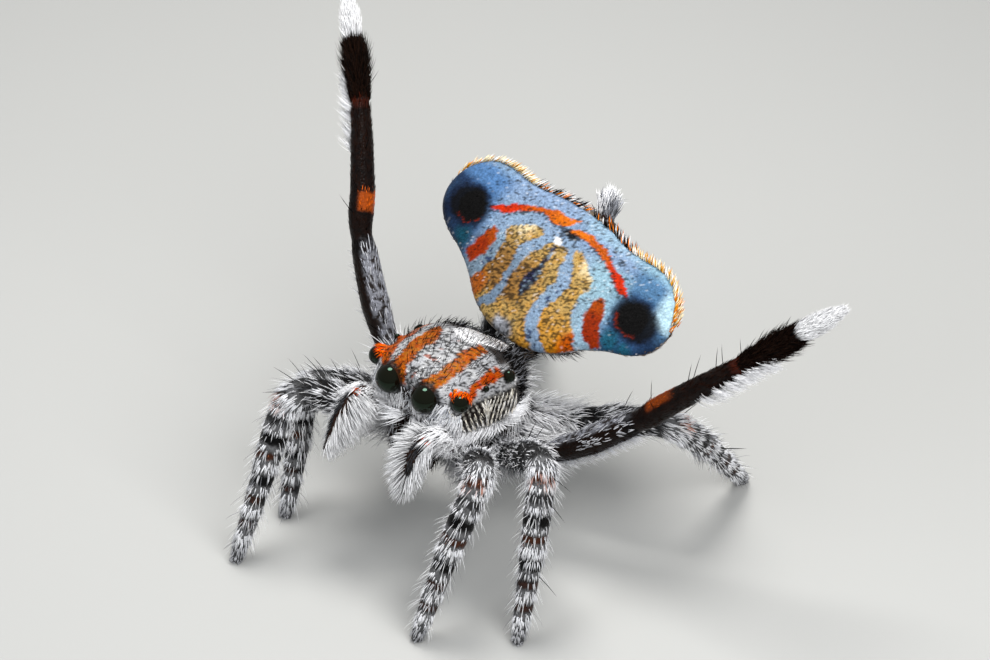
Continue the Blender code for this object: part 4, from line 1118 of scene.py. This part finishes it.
class Roots:
    """Random places on the skin's masked triangles, with all that a tuft there needs."""

    def __init__(self, count, mask, unwrap):
        total = (ROOM * mask).cumsum()
        picks = np.searchsorted(total, DRAW.uniform(0, total[-1], count))
        picks = np.clip(picks, 0, len(CORNERS) - 1)
        share = DRAW.dirichlet((1, 1, 1), count)[..., None]
        corners = CORNERS[picks]
        self.points = (POINTS[corners] * share).sum(axis=1)
        self.normals = unit((VERTEX_NORMALS[corners] * share).sum(axis=1))
        self.tags = TAGS[corners[:, 0]]
        self.ways = WAYS[corners[:, 0]]
        self.places = unwrap(self.points, self.tags)

    def keep(self, chosen):
        self.points, self.normals, self.tags, self.ways, self.places = (
            rows[chosen] for rows in (self.points, self.normals, self.tags, self.ways, self.places)
        )

    def vary(self, low, high, factor=1.0):
        return DRAW.uniform(low, high, len(self.points)) * factor

    def tones(self, low, high):
        return DRAW.uniform(low, high, (len(self.points), 1))

    def chance(self, share):
        return DRAW.uniform(0, 1, len(self.points)) < share

    def facing(self, way):
        """How far the skin at each place faces a way, 1 for straight at it."""
        return (self.normals * way).sum(axis=1)

    def drawn(self, value):
        """What a function draws, or values between a tuple's limits; anything else as it is."""
        if callable(value):
            return value()
        return self.vary(*value) if isinstance(value, tuple) else value

    def coat(self, name, finish, ways, turn, length, width, lift, colours, root=0.75, **kind):
        """A piece of tufts at these roots, turned at random about the ways by up to an angle.

        The draws run in the order of the arguments; root darkens the colours at the roots.
        """
        ways = off_skin(np.broadcast_to(ways, self.points.shape), self.normals)
        turn = DRAW.normal(0, turn, len(ways))[:, None]
        ways = np.cos(turn) * ways + np.sin(turn) * np.cross(self.normals, ways)
        length, width, lift, colours = (self.drawn(value) for value in (length, width, lift, colours))
        made = tufts(
            name, self.points, self.normals, ways, length, width, lift, self.places,
            root * colours, colours, **kind,
        )
        add(made, finish)


def add(piece, finish):
    """Keep a piece, with the material of its finish; the slot that the finish names is not used."""
    material, slot = finish
    piece.data.materials.append(material)
    PIECES.append(piece)


FAN_COAT = coat_material("fan_coat", 0.4, 0.2, ior=1.05, metallic=0.08, speckle=0.08, grain=0.015)
SCALE_COAT = coat_material("scale_coat", 0.5, 0.4, speckle=0.1, grain=0.02)
HAIR_COAT = coat_material("hair_coat", 0.5, 0.4, speckle=0.06, grain=0.03)
DARK_COAT = coat_material("dark_coat", 0.45, 0.3, ior=1.1, speckle=0.2, grain=0.03)
FAN_HAIR = (HAIR_COAT, "fan_scales")
BODY_SCALES = (SCALE_COAT, "body_scales")
WHITE_BRUSH = (HAIR_COAT, "white_brush")
LEG_HAIR = (HAIR_COAT, "leg_hair")
DARK_HAIR = (DARK_COAT, "dark_hair")

# Scales of the fan's face, half of them in each piece
FAN_PART = (PART == FAN) | (PART == EGG)
FAN_FACE = FAN_PART & (FACING > 0.0) & (FACE_PLACE[:, 2] > FAN_LEVEL - 0.1)


def in_eyespot(place):
    """Distance of each place from the nearest eyespot's middle, 1 at its edge."""
    reach = [np.hypot((place[:, 0] - u) / long, (place[:, 1] - v) / tall) for u, v, long, tall in EYESPOTS]
    return np.min(reach, axis=0)


FACE_REACH = in_eyespot(FACE_PLACE)
for name, sign in (("fan_scales_right", -1), ("fan_scales_left", 1)):
    half = sign * FACE_PLACE[:, 0] > -0.03
    roots = Roots(14200, FAN_FACE & half & (FACE_REACH > 1.1), fan_unwrap)
    across = fan_place(roots.points)[:, 0]
    roots.coat(
        name, (FAN_COAT, "fan_scales"), FAN_ALONG - fan_lean(across)[:, None] * FAN_ACROSS, 0.22,
        (0.026, 0.04), (0.006, 0.0085), (0.1, 0.4, 1 - 0.4 * step(np.abs(across), 1.2, 1.5)),
        fan_colour(roots.points), profile=SCALE_PROFILE, flat=0.35, root=0.95,
    )

roots = Roots(4200, FAN_FACE & (FACE_REACH < 1.22), fan_unwrap)
deep = step(in_eyespot(fan_place(roots.points)), 1.04, 0.96)
roots.coat(
    "fan_eyespots", (DARK_COAT, "fan_scales"), FAN_ALONG, 0.4, (0.03, 0.05), 0.0085, (0.2, 0.5),
    mix(fan_colour(roots.points), 0.1 * BLACK, deep), flat=0.4,
)


# Bristles along the fan's upper rim, that lean to its middle
def rim_fringe(name, count, low, high, tones, length):
    side = DRAW.choice((-1.0, 1.0), count)
    across = DRAW.uniform(low, high, count)
    outline = fan_edges(np.linspace(0, 1, 600))
    edge = np.interp(across, outline[0], outline[2])
    points = fan_point(side * across, edge - 0.03, FAN_LEVEL + DRAW.uniform(-0.09, 0.09, count))
    lean = np.interp(across, (0.0, 0.8, 1.7, 2.1), (0.9, 0.8, 0.55, -0.15)) * side
    ways = FAN_ALONG - lean[:, None] * FAN_ACROSS + DRAW.normal(0, 0.14, (count, 3))
    colours = np.array(tones)[DRAW.integers(0, len(tones), count)] * DRAW.uniform(0.85, 1.1, (count, 1))
    made = tufts(
        name, points, np.tile(FAN_OUT, (count, 1)), ways, DRAW.uniform(*length, count), 0.0085, 0.12,
        fan_unwrap(points, None), 0.8 * colours, colours, flat=0.8, bend=-1.0,
    )
    add(made, FAN_HAIR)


rim_fringe("fan_fringe_lobes", 420, 0.95, 2.08, (CREAM, CREAM, WHITE, YELLOW_ORANGE), (0.07, 0.16))
rim_fringe("fan_fringe_ends", 160, 1.9, 2.11, (ORANGE, YELLOW_ORANGE, CREAM), (0.06, 0.12))
MIDDLE_TONES = (BLACK, BLACK, DARK_BROWN, MID_GREY, WHITE, ORANGE)
rim_fringe("fan_fringe_middle", 260, 0.1, 0.98, MIDDLE_TONES, (0.04, 0.2))

# Back of the fan and the abdomen under it
roots = Roots(8300, (FAN_PART | (PART == TAIL)) & (FACING < 0.15) & (FACE_Z > 1.9), fan_unwrap)
egg = roots.tags[:, 0] == EGG
roots.coat(
    "abdomen_hair", FAN_HAIR, FAN_ALONG, 0.35,
    lambda: np.where(egg, roots.vary(0.1, 0.2), roots.vary(0.06, 0.1)), 0.0125, (0.2, 0.5),
    lambda: abdomen_colour(roots.points) * roots.tones(0.7, 1.2),
)

# Hair of the wedge and scales of the rest of the head shell
ON_SHELL = PART == SHELL
IN_WEDGE = ON_SHELL & (inside(FACE_ANGLE * DEGREE, FACE_Y, WEDGE) > 0.01)
roots = Roots(1500, IN_WEDGE, shell_unwrap)
roots.coat(
    "shell_wedge", WHITE_BRUSH, (0.0, 1.0, -0.1), 0.18, (0.08, 0.13), (0.009, 0.012), (0.1, 0.35),
    lambda: WHITE * roots.tones(0.92, 1.05), root=1.0,
)
roots = Roots(16800, ON_SHELL & (FACE_ANGLE > 14) & (FACE_ANGLE < 166), shell_unwrap)
roots.coat(
    "shell_scales", BODY_SCALES, mirrored(roots.points, (0.1, 1.0, -0.2)), 0.35,
    (0.03, 0.048, 1 + step(roots.points[:, 1], -0.05, 0.2)), (0.006, 0.009), (0.15, 0.5),
    shell_colour(roots.points), profile=SCALE_PROFILE, flat=0.4, root=0.95,
)

# Streaks of long pale scales on the dark flanks, then the white hem under them
FLANK = ON_SHELL & ((FACE_ANGLE < 16) | (FACE_ANGLE > 164)) & (FACE_Z > 1.8)
roots = Roots(3200, FLANK, shell_unwrap)
lean = flank_lines(roots.points)[1]
roots.coat(
    "shell_flanks", (DARK_COAT, "body_scales"), lean[:, None] * BACK - UP, 0.1, (0.05, 0.09), (0.006, 0.009),
    (0.05, 0.2), lambda: mix(DARK_BROWN, BLACK, roots.vary(0, 1)), flat=0.5,
)
roots = Roots(9000, FLANK, shell_unwrap)
pale = (flank_lines(roots.points)[0] > 0.78) & (noise(roots.points, 0.1, 19) > 0.24)
roots.keep(pale & (roots.points[:, 1] < 0.08))
lean = flank_lines(roots.points)[1]
roots.coat(
    "flank_streaks", BODY_SCALES, lean[:, None] * BACK - UP, 0.06, (0.1, 0.2), (0.0045, 0.007), (0.15, 0.4),
    lambda: mix(CREAM, WHITE, roots.vary(0.4, 1)), bend=-0.4, root=0.95,
)

# Orange hair that hangs over the side eyes
lids = np.zeros(len(MIDDLES), bool)
for name, centre, radius, _ in eye_places():
    if "side" in name:
        apart = MIDDLES - centre
        behind = (apart[:, 1] > -0.25 * radius) & (apart[:, 2] > 0.35 * radius)
        lids |= behind & (np.linalg.norm(apart, axis=1) < 1.7 * radius)
roots = Roots(300, lids & ON_SHELL, shell_unwrap)
colours = np.where(roots.chance(0.15)[:, None], BLACK, mix(RED, ORANGE, roots.vary(0.0, 1)))
roots.coat(
    "eye_lids", BODY_SCALES, mirrored(roots.points, (0.6, -1.0, -0.5)), 0.15, (0.08, 0.13), 0.008,
    (0.35, 0.6), colours, bend=-0.2, root=0.9,
)

# White hair of the cheeks, that hangs over the palps
low = (FACE_ANGLE < 4) & (FACE_ANGLE > -62) | (FACE_ANGLE > 176) | (FACE_ANGLE < -118)
roots = Roots(1500, ON_SHELL & low & (FACE_Y < -0.9) & (FACE_Z > 2.0), shell_unwrap)
roots.coat(
    "cheek_hair", WHITE_BRUSH, mirrored(roots.points, (0.05, -0.35, -1.0)), 0.18, (0.16, 0.3), 0.009,
    (0.2, 0.5), lambda: WHITE * roots.tones(0.88, 1.06), profile=LONG_PROFILE, bend=0.2, root=0.9,
)

# The white hem, and a swoosh that hangs from it to the roots of the forelegs
high = np.interp(FACE_Y, (-1.1, -0.9, -0.4, 0.2), (2.18, 2.05, 1.98, 1.97))
HEM = ON_SHELL & (FACE_Y > -1.08) & (FACE_Y < 0.22) & (FACE_NORMALS[:, 2] < 0.6)
HEM &= (FACE_Z > high - 0.3) & (FACE_Z < high + 0.02)
roots = Roots(3300, HEM, shell_unwrap)
x, y, z = roots.points.T
back = -1.0 + 2.0 * step(y, -0.45, 0.05)
ways = np.stack([0.6 * np.sign(x), back, -0.15 + 0.25 * step(y, -0.7, 0.0)], axis=1)
roots.coat(
    "shell_hem", WHITE_BRUSH, ways, 0.1, (0.3, 0.48, 1 - 0.4 * step(y, -0.4, 0.2)), 0.0115, (0.5, 0.85),
    lambda: WHITE * roots.tones(0.96, 1.06), profile=LONG_PROFILE, bend=0.1, root=1.0,
)
low = (FACE_Z < np.interp(FACE_Y, (-0.9, -0.4), (1.97, 1.9))) & (FACE_Y < -0.1)
roots = Roots(1800, HEM & low, shell_unwrap)
roots.coat(
    "hem_swoosh", WHITE_BRUSH, mirrored(roots.points, (0.5, -0.8, -0.5)), 0.12, (0.36, 0.52), 0.011,
    (0.55, 0.9), lambda: WHITE * roots.tones(0.94, 1.04), profile=LONG_PROFILE, bend=0.1, root=1.0,
)

# Face
brow = ON_SHELL & (FACE_Y < -0.9) & (FACE_Z < 2.62) & (FACE_Z > 2.0)
roots = Roots(2300, brow | (PART == JAW) & (FACE_Z > 1.5), shell_unwrap)
x, y, z = roots.points.T
pale = (step(z, 2.2, 2.4) * 0.6 + 0.3) * np.where(np.abs(x) < 0.45, 0.6, 1)
colours = np.where(roots.chance(pale)[:, None], mix(PALE_GREY, WHITE, roots.vary(0, 1)), 0.6 * DARK_BROWN)
roots.coat(
    "face_hair", WHITE_BRUSH, mirrored(roots.points, (-0.6, -0.4, -1.0)), 0.35, (0.1, 0.24), 0.0075,
    (0.25, 0.7), colours, profile=LONG_PROFILE, bend=0.3, root=0.6,
)

# Legs: white tufts that flare from each dark ring to the next, over short dark hair
BELOW_KNEE = 2.5


def leg_mask(names, low, high):
    """The triangles of the named legs between two places along them."""
    wanted = np.isin(PART, [LEG + LEG_NAMES.index(name) for name in names])
    return wanted & (FACE_ALONG > low) & (FACE_ALONG < high) & (FACE_Z > 0.02)


def ring_room(f):
    """Distance in millimetres from each place to the start of the next dark ring."""
    starts = np.array([middle - half for middle, half, _ in RINGS] + [1.05])
    after = starts[np.searchsorted(starts, f + 0.01).clip(0, len(starts) - 1)]
    return BELOW_KNEE * np.maximum(after - f, 0.0)


for name, pair, count in (("front", "leg1", 9200), ("second", "leg2", 8300), ("rear", "leg4", 8400)):
    roots = Roots(count, leg_mask([pair + "_" + side for side in SIDES], 0.3, 5.1), limb_unwrap)
    place = roots.tags[:, 1]
    colours = leg_colour(roots.points, place, roots.tags[:, 2])
    f = below_knee(place)
    knee = place > 2.0
    light = (colours.mean(axis=1) > 0.3) & roots.chance(0.72)
    light &= ~knee | (ring_room(f) > roots.vary(0.04, 0.12)) | (f > 0.84)
    tawny = (colours[:, 0] > 2.2 * colours[:, 2]) & (colours[:, 0] > 0.05)
    bright = colours * roots.tones(0.9, 1.06)
    colours = np.where((light | tawny)[:, None], bright, mix(BLACK, DARK_BROWN, roots.vary(0, 0.7)))
    length = roots.vary(0.13, 0.21) * np.interp(place, (0, 2, 4, 4.6, 5), (1.1, 1.0, 0.95, 0.8, 0.6))
    limited = np.where(knee, np.minimum(length, ring_room(f) + 0.01), length)
    toe = step(roots.points[:, 2], 0.2, 0.06)
    length = np.where(light, limited, 0.42 * length) * (1 - 0.45 * toe)
    lift = np.where(light, roots.vary(0.35, 0.8), roots.vary(0.1, 0.35)) + 0.6 * toe
    roots.coat(
        "leg_coat_" + name, LEG_HAIR, roots.ways, 0.16, length,
        lambda: np.where(light, roots.vary(0.0075, 0.0115), 0.007), lift, colours, bend=0.3, root=0.85,
    )

roots = Roots(1900, leg_mask(WALKING, 1.3, 4.8), limb_unwrap)
roots.coat(
    "leg_long_hair", LEG_HAIR, roots.ways, 0.2, (0.16, 0.3), 0.0036, (0.6, 1.1),
    lambda: np.where(roots.chance(0.3)[:, None], MID_GREY, WHITE), profile=LONG_PROFILE, flat=0.8, bend=0.5,
)

# Raised legs: short dark coat, black brush, white tip, white fringe under them
roots = Roots(8000, leg_mask(RAISED, 0.3, 4.1), limb_unwrap)
place = roots.tags[:, 1]
colours = raised_colour(roots.points, roots.normals, place) * roots.tones(0.6, 1.25)
size = np.interp(place, (0, 3.2, 4.1), (1.0, 1.0, 1.7)) * np.where(np.abs(place - 2.02) < 0.07, 0.4, 1.0)
roots.coat(
    "raised_coat", DARK_HAIR, roots.ways, 0.15, (0.06, 0.11, size), (0.006, 0.009), (0.1, 0.4), colours,
    root=0.9,
)

roots = Roots(2600, leg_mask(RAISED, 0.5, 1.95), limb_unwrap)
x = roots.points[:, 0]
upper = (x > 0) & (roots.normals[:, 2] > -0.05) & (noise(roots.points, 0.09, 26) > 0.4)
roots.keep(upper | (x < 0) & (roots.normals[:, 0] > 0.3) & roots.chance(0.2))
roots.coat(
    "raised_streaks", LEG_HAIR, roots.ways, 0.15, (0.09, 0.17), (0.006, 0.0095), (0.25, 0.6),
    lambda: mix(LEG_PALE, MID_GREY, roots.vary(0.1, 0.95)), profile=LONG_PROFILE,
)

roots = Roots(5600, leg_mask(RAISED, 4.02, 4.55), limb_unwrap)
length = roots.vary(0.17, 0.3) * np.where(roots.chance(0.12), 1.5, 1.0)
length = length * np.interp(roots.tags[:, 1], (4.02, 4.25, 4.4, 4.55), (0.45, 1.0, 0.9, 0.5))
roots.coat(
    "raised_brush", DARK_HAIR, roots.ways, 0.2, length, (0.0065, 0.01), (0.4, 0.95),
    lambda: mix(0.6 * BLACK, DARK_BROWN, roots.vary(0, 0.6)), profile=LONG_PROFILE, bend=0.3,
)

roots = Roots(2300, leg_mask(RAISED, 4.56, 4.95), limb_unwrap)
size = np.interp(roots.tags[:, 1], (4.6, 4.95), (1.0, 0.8))
roots.coat(
    "raised_tip", WHITE_BRUSH, roots.ways, 0.16, (0.18, 0.26, size), (0.008, 0.012), (0.25, 0.7),
    lambda: WHITE * roots.tones(0.66, 0.86), profile=LONG_PROFILE, bend=0.15, root=0.85,
)


IN_LIMB = 0.95
FULL_TURN = 6.3


def limb_tufts(name, kind, finish, place, angle, length, width, lift, root_colour, tip_colour, **shape):
    """Tufts at places and angles on a leg, the angle off its fore side in radians."""
    limb = LIMBS[name]
    sign = math.copysign(1.0, -limb.reference[1])
    centre, way, side, over = limb.at(place)
    outward = sign * np.cos(angle)[:, None] * side + np.sin(angle)[:, None] * over
    radius = radii_at(place, RAISED_RADII if name in RAISED else LEG_RADII)[:, None]
    points = centre + IN_LIMB * radius * outward
    part = np.full(len(place), float(LEG + LEG_NAMES.index(name)))
    places = limb_unwrap(points, np.stack([part, place, (angle / FULL_TURN) % 1], axis=1))
    made = tufts(
        name + kind, points, outward, way, length, width, lift, places, root_colour, tip_colour,
        profile=LONG_PROFILE, **shape,
    )
    add(made, finish)


CLUMPS = (3.45, 3.62, 3.78, 3.93, 4.06, 4.17)
CLUMP_SHARES = (0.06, 0.14, 0.16, 0.22, 0.22, 0.2)
for name in RAISED:
    count = 800
    place = DRAW.choice(CLUMPS, count, p=CLUMP_SHARES) + DRAW.normal(0, 0.03, count)
    limb_tufts(
        name, "_fringe", WHITE_BRUSH, place, np.radians(-52.0) + DRAW.normal(0, 0.3, count),
        DRAW.uniform(0.16, 0.33, count), 0.0105, DRAW.uniform(0.75, 1.15, count), 0.9 * WHITE, WHITE,
        bend=0.6,
    )
    count = 260
    limb_tufts(
        name, "_under", LEG_HAIR, DRAW.uniform(0.9, 1.9, count), np.radians(DRAW.uniform(-110, -40, count)),
        DRAW.uniform(0.14, 0.26, count), 0.005, DRAW.uniform(0.8, 1.2, count), PALE_GREY, WHITE, bend=0.7,
    )

# Palps: a dark stripe down the outer front, dense white hair behind it, a brush that fans round the rest
roots = Roots(4900, PART == BRUSH, limb_unwrap)
place = roots.tags[:, 1]
stripe_way = mirrored(roots.points, unit((0.6, -0.62, 0.5)))
stripe_side = roots.facing(stripe_way)
white_side = roots.facing(mirrored(roots.points, unit((0.75, 0.62, 0.1))))
arm = place < 2.1
spot_side = np.where(roots.points[:, 0] > 0, stripe_side, roots.facing(unit((0.1, -0.6, 0.8))))
spot = (np.abs(place - 2.2) < 0.09) & (spot_side > 0.84)
stripe = (stripe_side > 0.87) & (place > 2.25)
dense = (white_side > 0.05) & ~stripe & ~spot
brush = ~arm & ~stripe & ~dense & ~spot
curtain = arm & (place > 1.25) & (roots.facing(mirrored(roots.points, (0.85, -0.2, 0.1))) > 0.15)
aside = unit(-stripe_way + stripe_side[:, None] * roots.normals)
roots.ways = np.where(brush[:, None], aside + 0.3 * roots.ways, roots.ways)
roots.ways = np.where((dense & ~arm)[:, None], 0.6 * aside + roots.ways, roots.ways)
pale = WHITE * roots.tones(0.88, 1.05)
dark = stripe | (arm & roots.chance(0.06))
colours = np.where(dark[:, None], mix(BLACK, MID_GREY, roots.vary(0, 0.35)), pale)
colours = np.where(spot[:, None], mix(BURNT_ORANGE, RED, roots.vary(0, 0.6)), colours)
longest = roots.vary(0.3, 0.46)
short = roots.vary(0.12, 0.24) * np.where(place > 1.9, 0.5, 1)
length = np.where(brush | curtain, longest, np.where(arm, short, roots.vary(0.26, 0.42)))
length = np.where(stripe | spot, 0.3, 1) * length
length = length * np.interp(place, (2.1, 2.6, 3.3, 3.9), (0.9, 1.0, 0.85, 0.5))
steep = roots.vary(0.5, 1.1)
lift = np.where(brush, steep, np.where(arm, roots.vary(0.3, 0.6), roots.vary(0.4, 0.95)))
down = mirrored(roots.points, PALPS["left"].at(np.full(1, 3.2))[1])
pull = np.where(brush, 0.8, np.where(curtain, 1.3, np.where(arm, 0.6, 0.2)))
roots.coat(
    "palp_hair", WHITE_BRUSH, roots.ways, 0.14, length, (0.006, 0.009), lift, colours,
    profile=LONG_PROFILE, bend=0.3, root=np.where(brush, 0.35, 0.8)[:, None], pull=down * pull[:, None],
)

# Hair of the spinnerets, the leg roots and the nape
roots = Roots(900, (PART == TAIL) & (FACE_ALONG > 0.6), fan_unwrap)
white = (fan_place(roots.points)[:, 0] < 0.06) & roots.chance(0.75)
colours = np.where(white[:, None], WHITE, mix(PALE_GREY, BLACK, roots.vary(0, 1)))
roots.coat(
    "spinneret_hair", WHITE_BRUSH, roots.ways, 0.25, (0.12, 0.34), 0.0085, (0.2, 0.8), colours,
    profile=LONG_PROFILE, root=0.7,
)
roots = Roots(4300, 0.5 * (PART == UNDER) + ((PART >= LEG) & (FACE_ALONG < 1.1)), limb_unwrap)
outward = unit(roots.points * (1.0, 1.0, 0.0) - (0.0, 0.1, 0.0))
roots.coat(
    "leg_root_hair", LEG_HAIR, outward - 0.3 * UP, 0.28, (0.26, 0.48), 0.0075, (0.3, 0.8),
    lambda: WHITE * roots.tones(0.55, 1.0), profile=LONG_PROFILE, bend=0.4, root=0.85,
)
rear = ON_SHELL & (FACE_Y > 0.08) & ~IN_WEDGE
roots = Roots(1900, rear | (PART == EGG) & (FACE_PLACE[:, 1] < -0.75), fan_unwrap)
roots.coat(
    "nape_hair", DARK_HAIR, roots.ways, 0.5, (0.1, 0.24), 0.0055, (0.5, 1.1),
    lambda: np.where(roots.chance(0.75)[:, None], BLACK, MID_GREY), profile=LONG_PROFILE, flat=0.9, bend=0.6,
)
roots = Roots(260, ON_SHELL & (FACE_Z > 2.55) & (FACE_NORMALS[:, 2] > 0.2), shell_unwrap)
roots.coat(
    "shell_bristles", DARK_HAIR, roots.ways, 0.4, (0.12, 0.24), 0.0042, (0.6, 1.1), BLACK,
    profile=LONG_PROFILE, flat=1.0, bend=0.5,
)

# Spines of the legs
SPINES = 9
for name in LEG_NAMES:
    limb_tufts(
        name, "_spines", DARK_HAIR, DRAW.uniform(1.3, 4.2, SPINES), np.radians(DRAW.uniform(30, 150, SPINES)),
        DRAW.uniform(0.26, 0.4, SPINES), 0.0075, 1.1, BLACK, BLACK, flat=1.0, bend=0.85,
    )

# Eyes
LENS = new_material("eye_lens", EYE_GLOSS)[0]
LENS_ROWS = 39
LENS_SIDES = 56


def make_eye(name, centre, radius):
    """A ball of triangles with its poles fore and aft."""
    polar = np.linspace(0, math.pi, LENS_ROWS + 2)[1:-1]
    rings = ball_rings(polar, LENS_SIDES).reshape(-1, 3)
    quads, caps = tube_faces(LENS_ROWS, LENS_SIDES)
    faces = [corners for a, b, c, d in quads for corners in ((a, b, c), (a, c, d))] + caps
    made = mesh_object(name, np.concatenate([rings, [-BACK, BACK]]) * radius + centre, faces)
    made.data.shade_smooth()
    made.data.materials.append(LENS)
    return made


for name, centre, radius, _ in eye_places():
    lens = make_eye("lens_" + name, centre, radius)
    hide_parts(name)
    PIECES.append(lens)

for piece in PIECES:
    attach(piece, "root")

# Floor, light and camera
FLOOR_REACH = 600
corners = [(FLOOR_REACH * x, FLOOR_REACH * y, 0) for x, y in ((-1, -1), (1, -1), (1, 1), (-1, 1))]
floor = mesh_object("floor", corners, [(0, 1, 2, 3)])
floor_paint = new_material("floor_paint", {"Base Color": (0.36, 0.36, 0.35, 1), "Roughness": 0.9})[0]
floor.data.materials.append(floor_paint)

world = bpy.data.worlds.new("studio")
world.use_nodes = True
put(world.node_tree.nodes["Background"], {"Color": (0.92, 0.96, 1.0, 1), "Strength": 0.4})
bpy.context.scene.world = world
bpy.context.scene.view_settings.view_transform = "Standard"

TARGET = np.array((0.492, -0.02, 3.184))
TO_CAMERA = np.array((0.5548, -0.5745, 0.6018))
RIGHT = np.array((0.7193, 0.6947, 0.0))
CAMERA_UP = np.array((-0.4181, 0.4329, 0.7986))
CAMERA_AWAY = 100
LIT = np.array((0.2, 0.0, 2.4))


def placed(made, place, towards):
    """An object at a place in millimetres, with its back turned to the way given."""
    made.location = Vector(to_frame(place))
    made.rotation_euler = Vector(towards).to_track_quat("Z", "Y").to_euler()
    return linked(made)


def panel(name, towards, distance, width, radiance, colour=(1, 1, 1)):
    """A round soft light, its power set from how bright its face is."""
    light = bpy.data.lights.new(name, "AREA")
    light.shape = "DISK"
    light.size = width * METRES
    light.energy = radiance * math.pi * (width * METRES) ** 2
    light.color = colour
    towards = unit(towards)
    made = placed(bpy.data.objects.new(name, light), LIT + distance * towards, towards)
    made.visible_glossy = name == "key"


panel("key", 1.0 * CAMERA_UP + 0.2 * TO_CAMERA + 0.35 * UP - 0.1 * RIGHT, 26, 12, 17.5, (1.0, 0.985, 0.96))
panel("soft", 0.9 * TO_CAMERA + 0.2 * UP + 0.4 * RIGHT, 30, 26, 5.4)
panel("fill", -0.9 * RIGHT + 0.5 * TO_CAMERA + 0.3 * UP, 30, 18, 2.8, (0.95, 0.97, 1.0))

camera_data = bpy.data.cameras.new("camera")
camera_data.sensor_width = 36.0
camera_data.lens = 283.6
camera_data.clip_start = 0.005
camera_data.clip_end = 10.0
camera = placed(bpy.data.objects.new("camera", camera_data), TARGET + CAMERA_AWAY * TO_CAMERA, TO_CAMERA)
bpy.context.scene.camera = camera
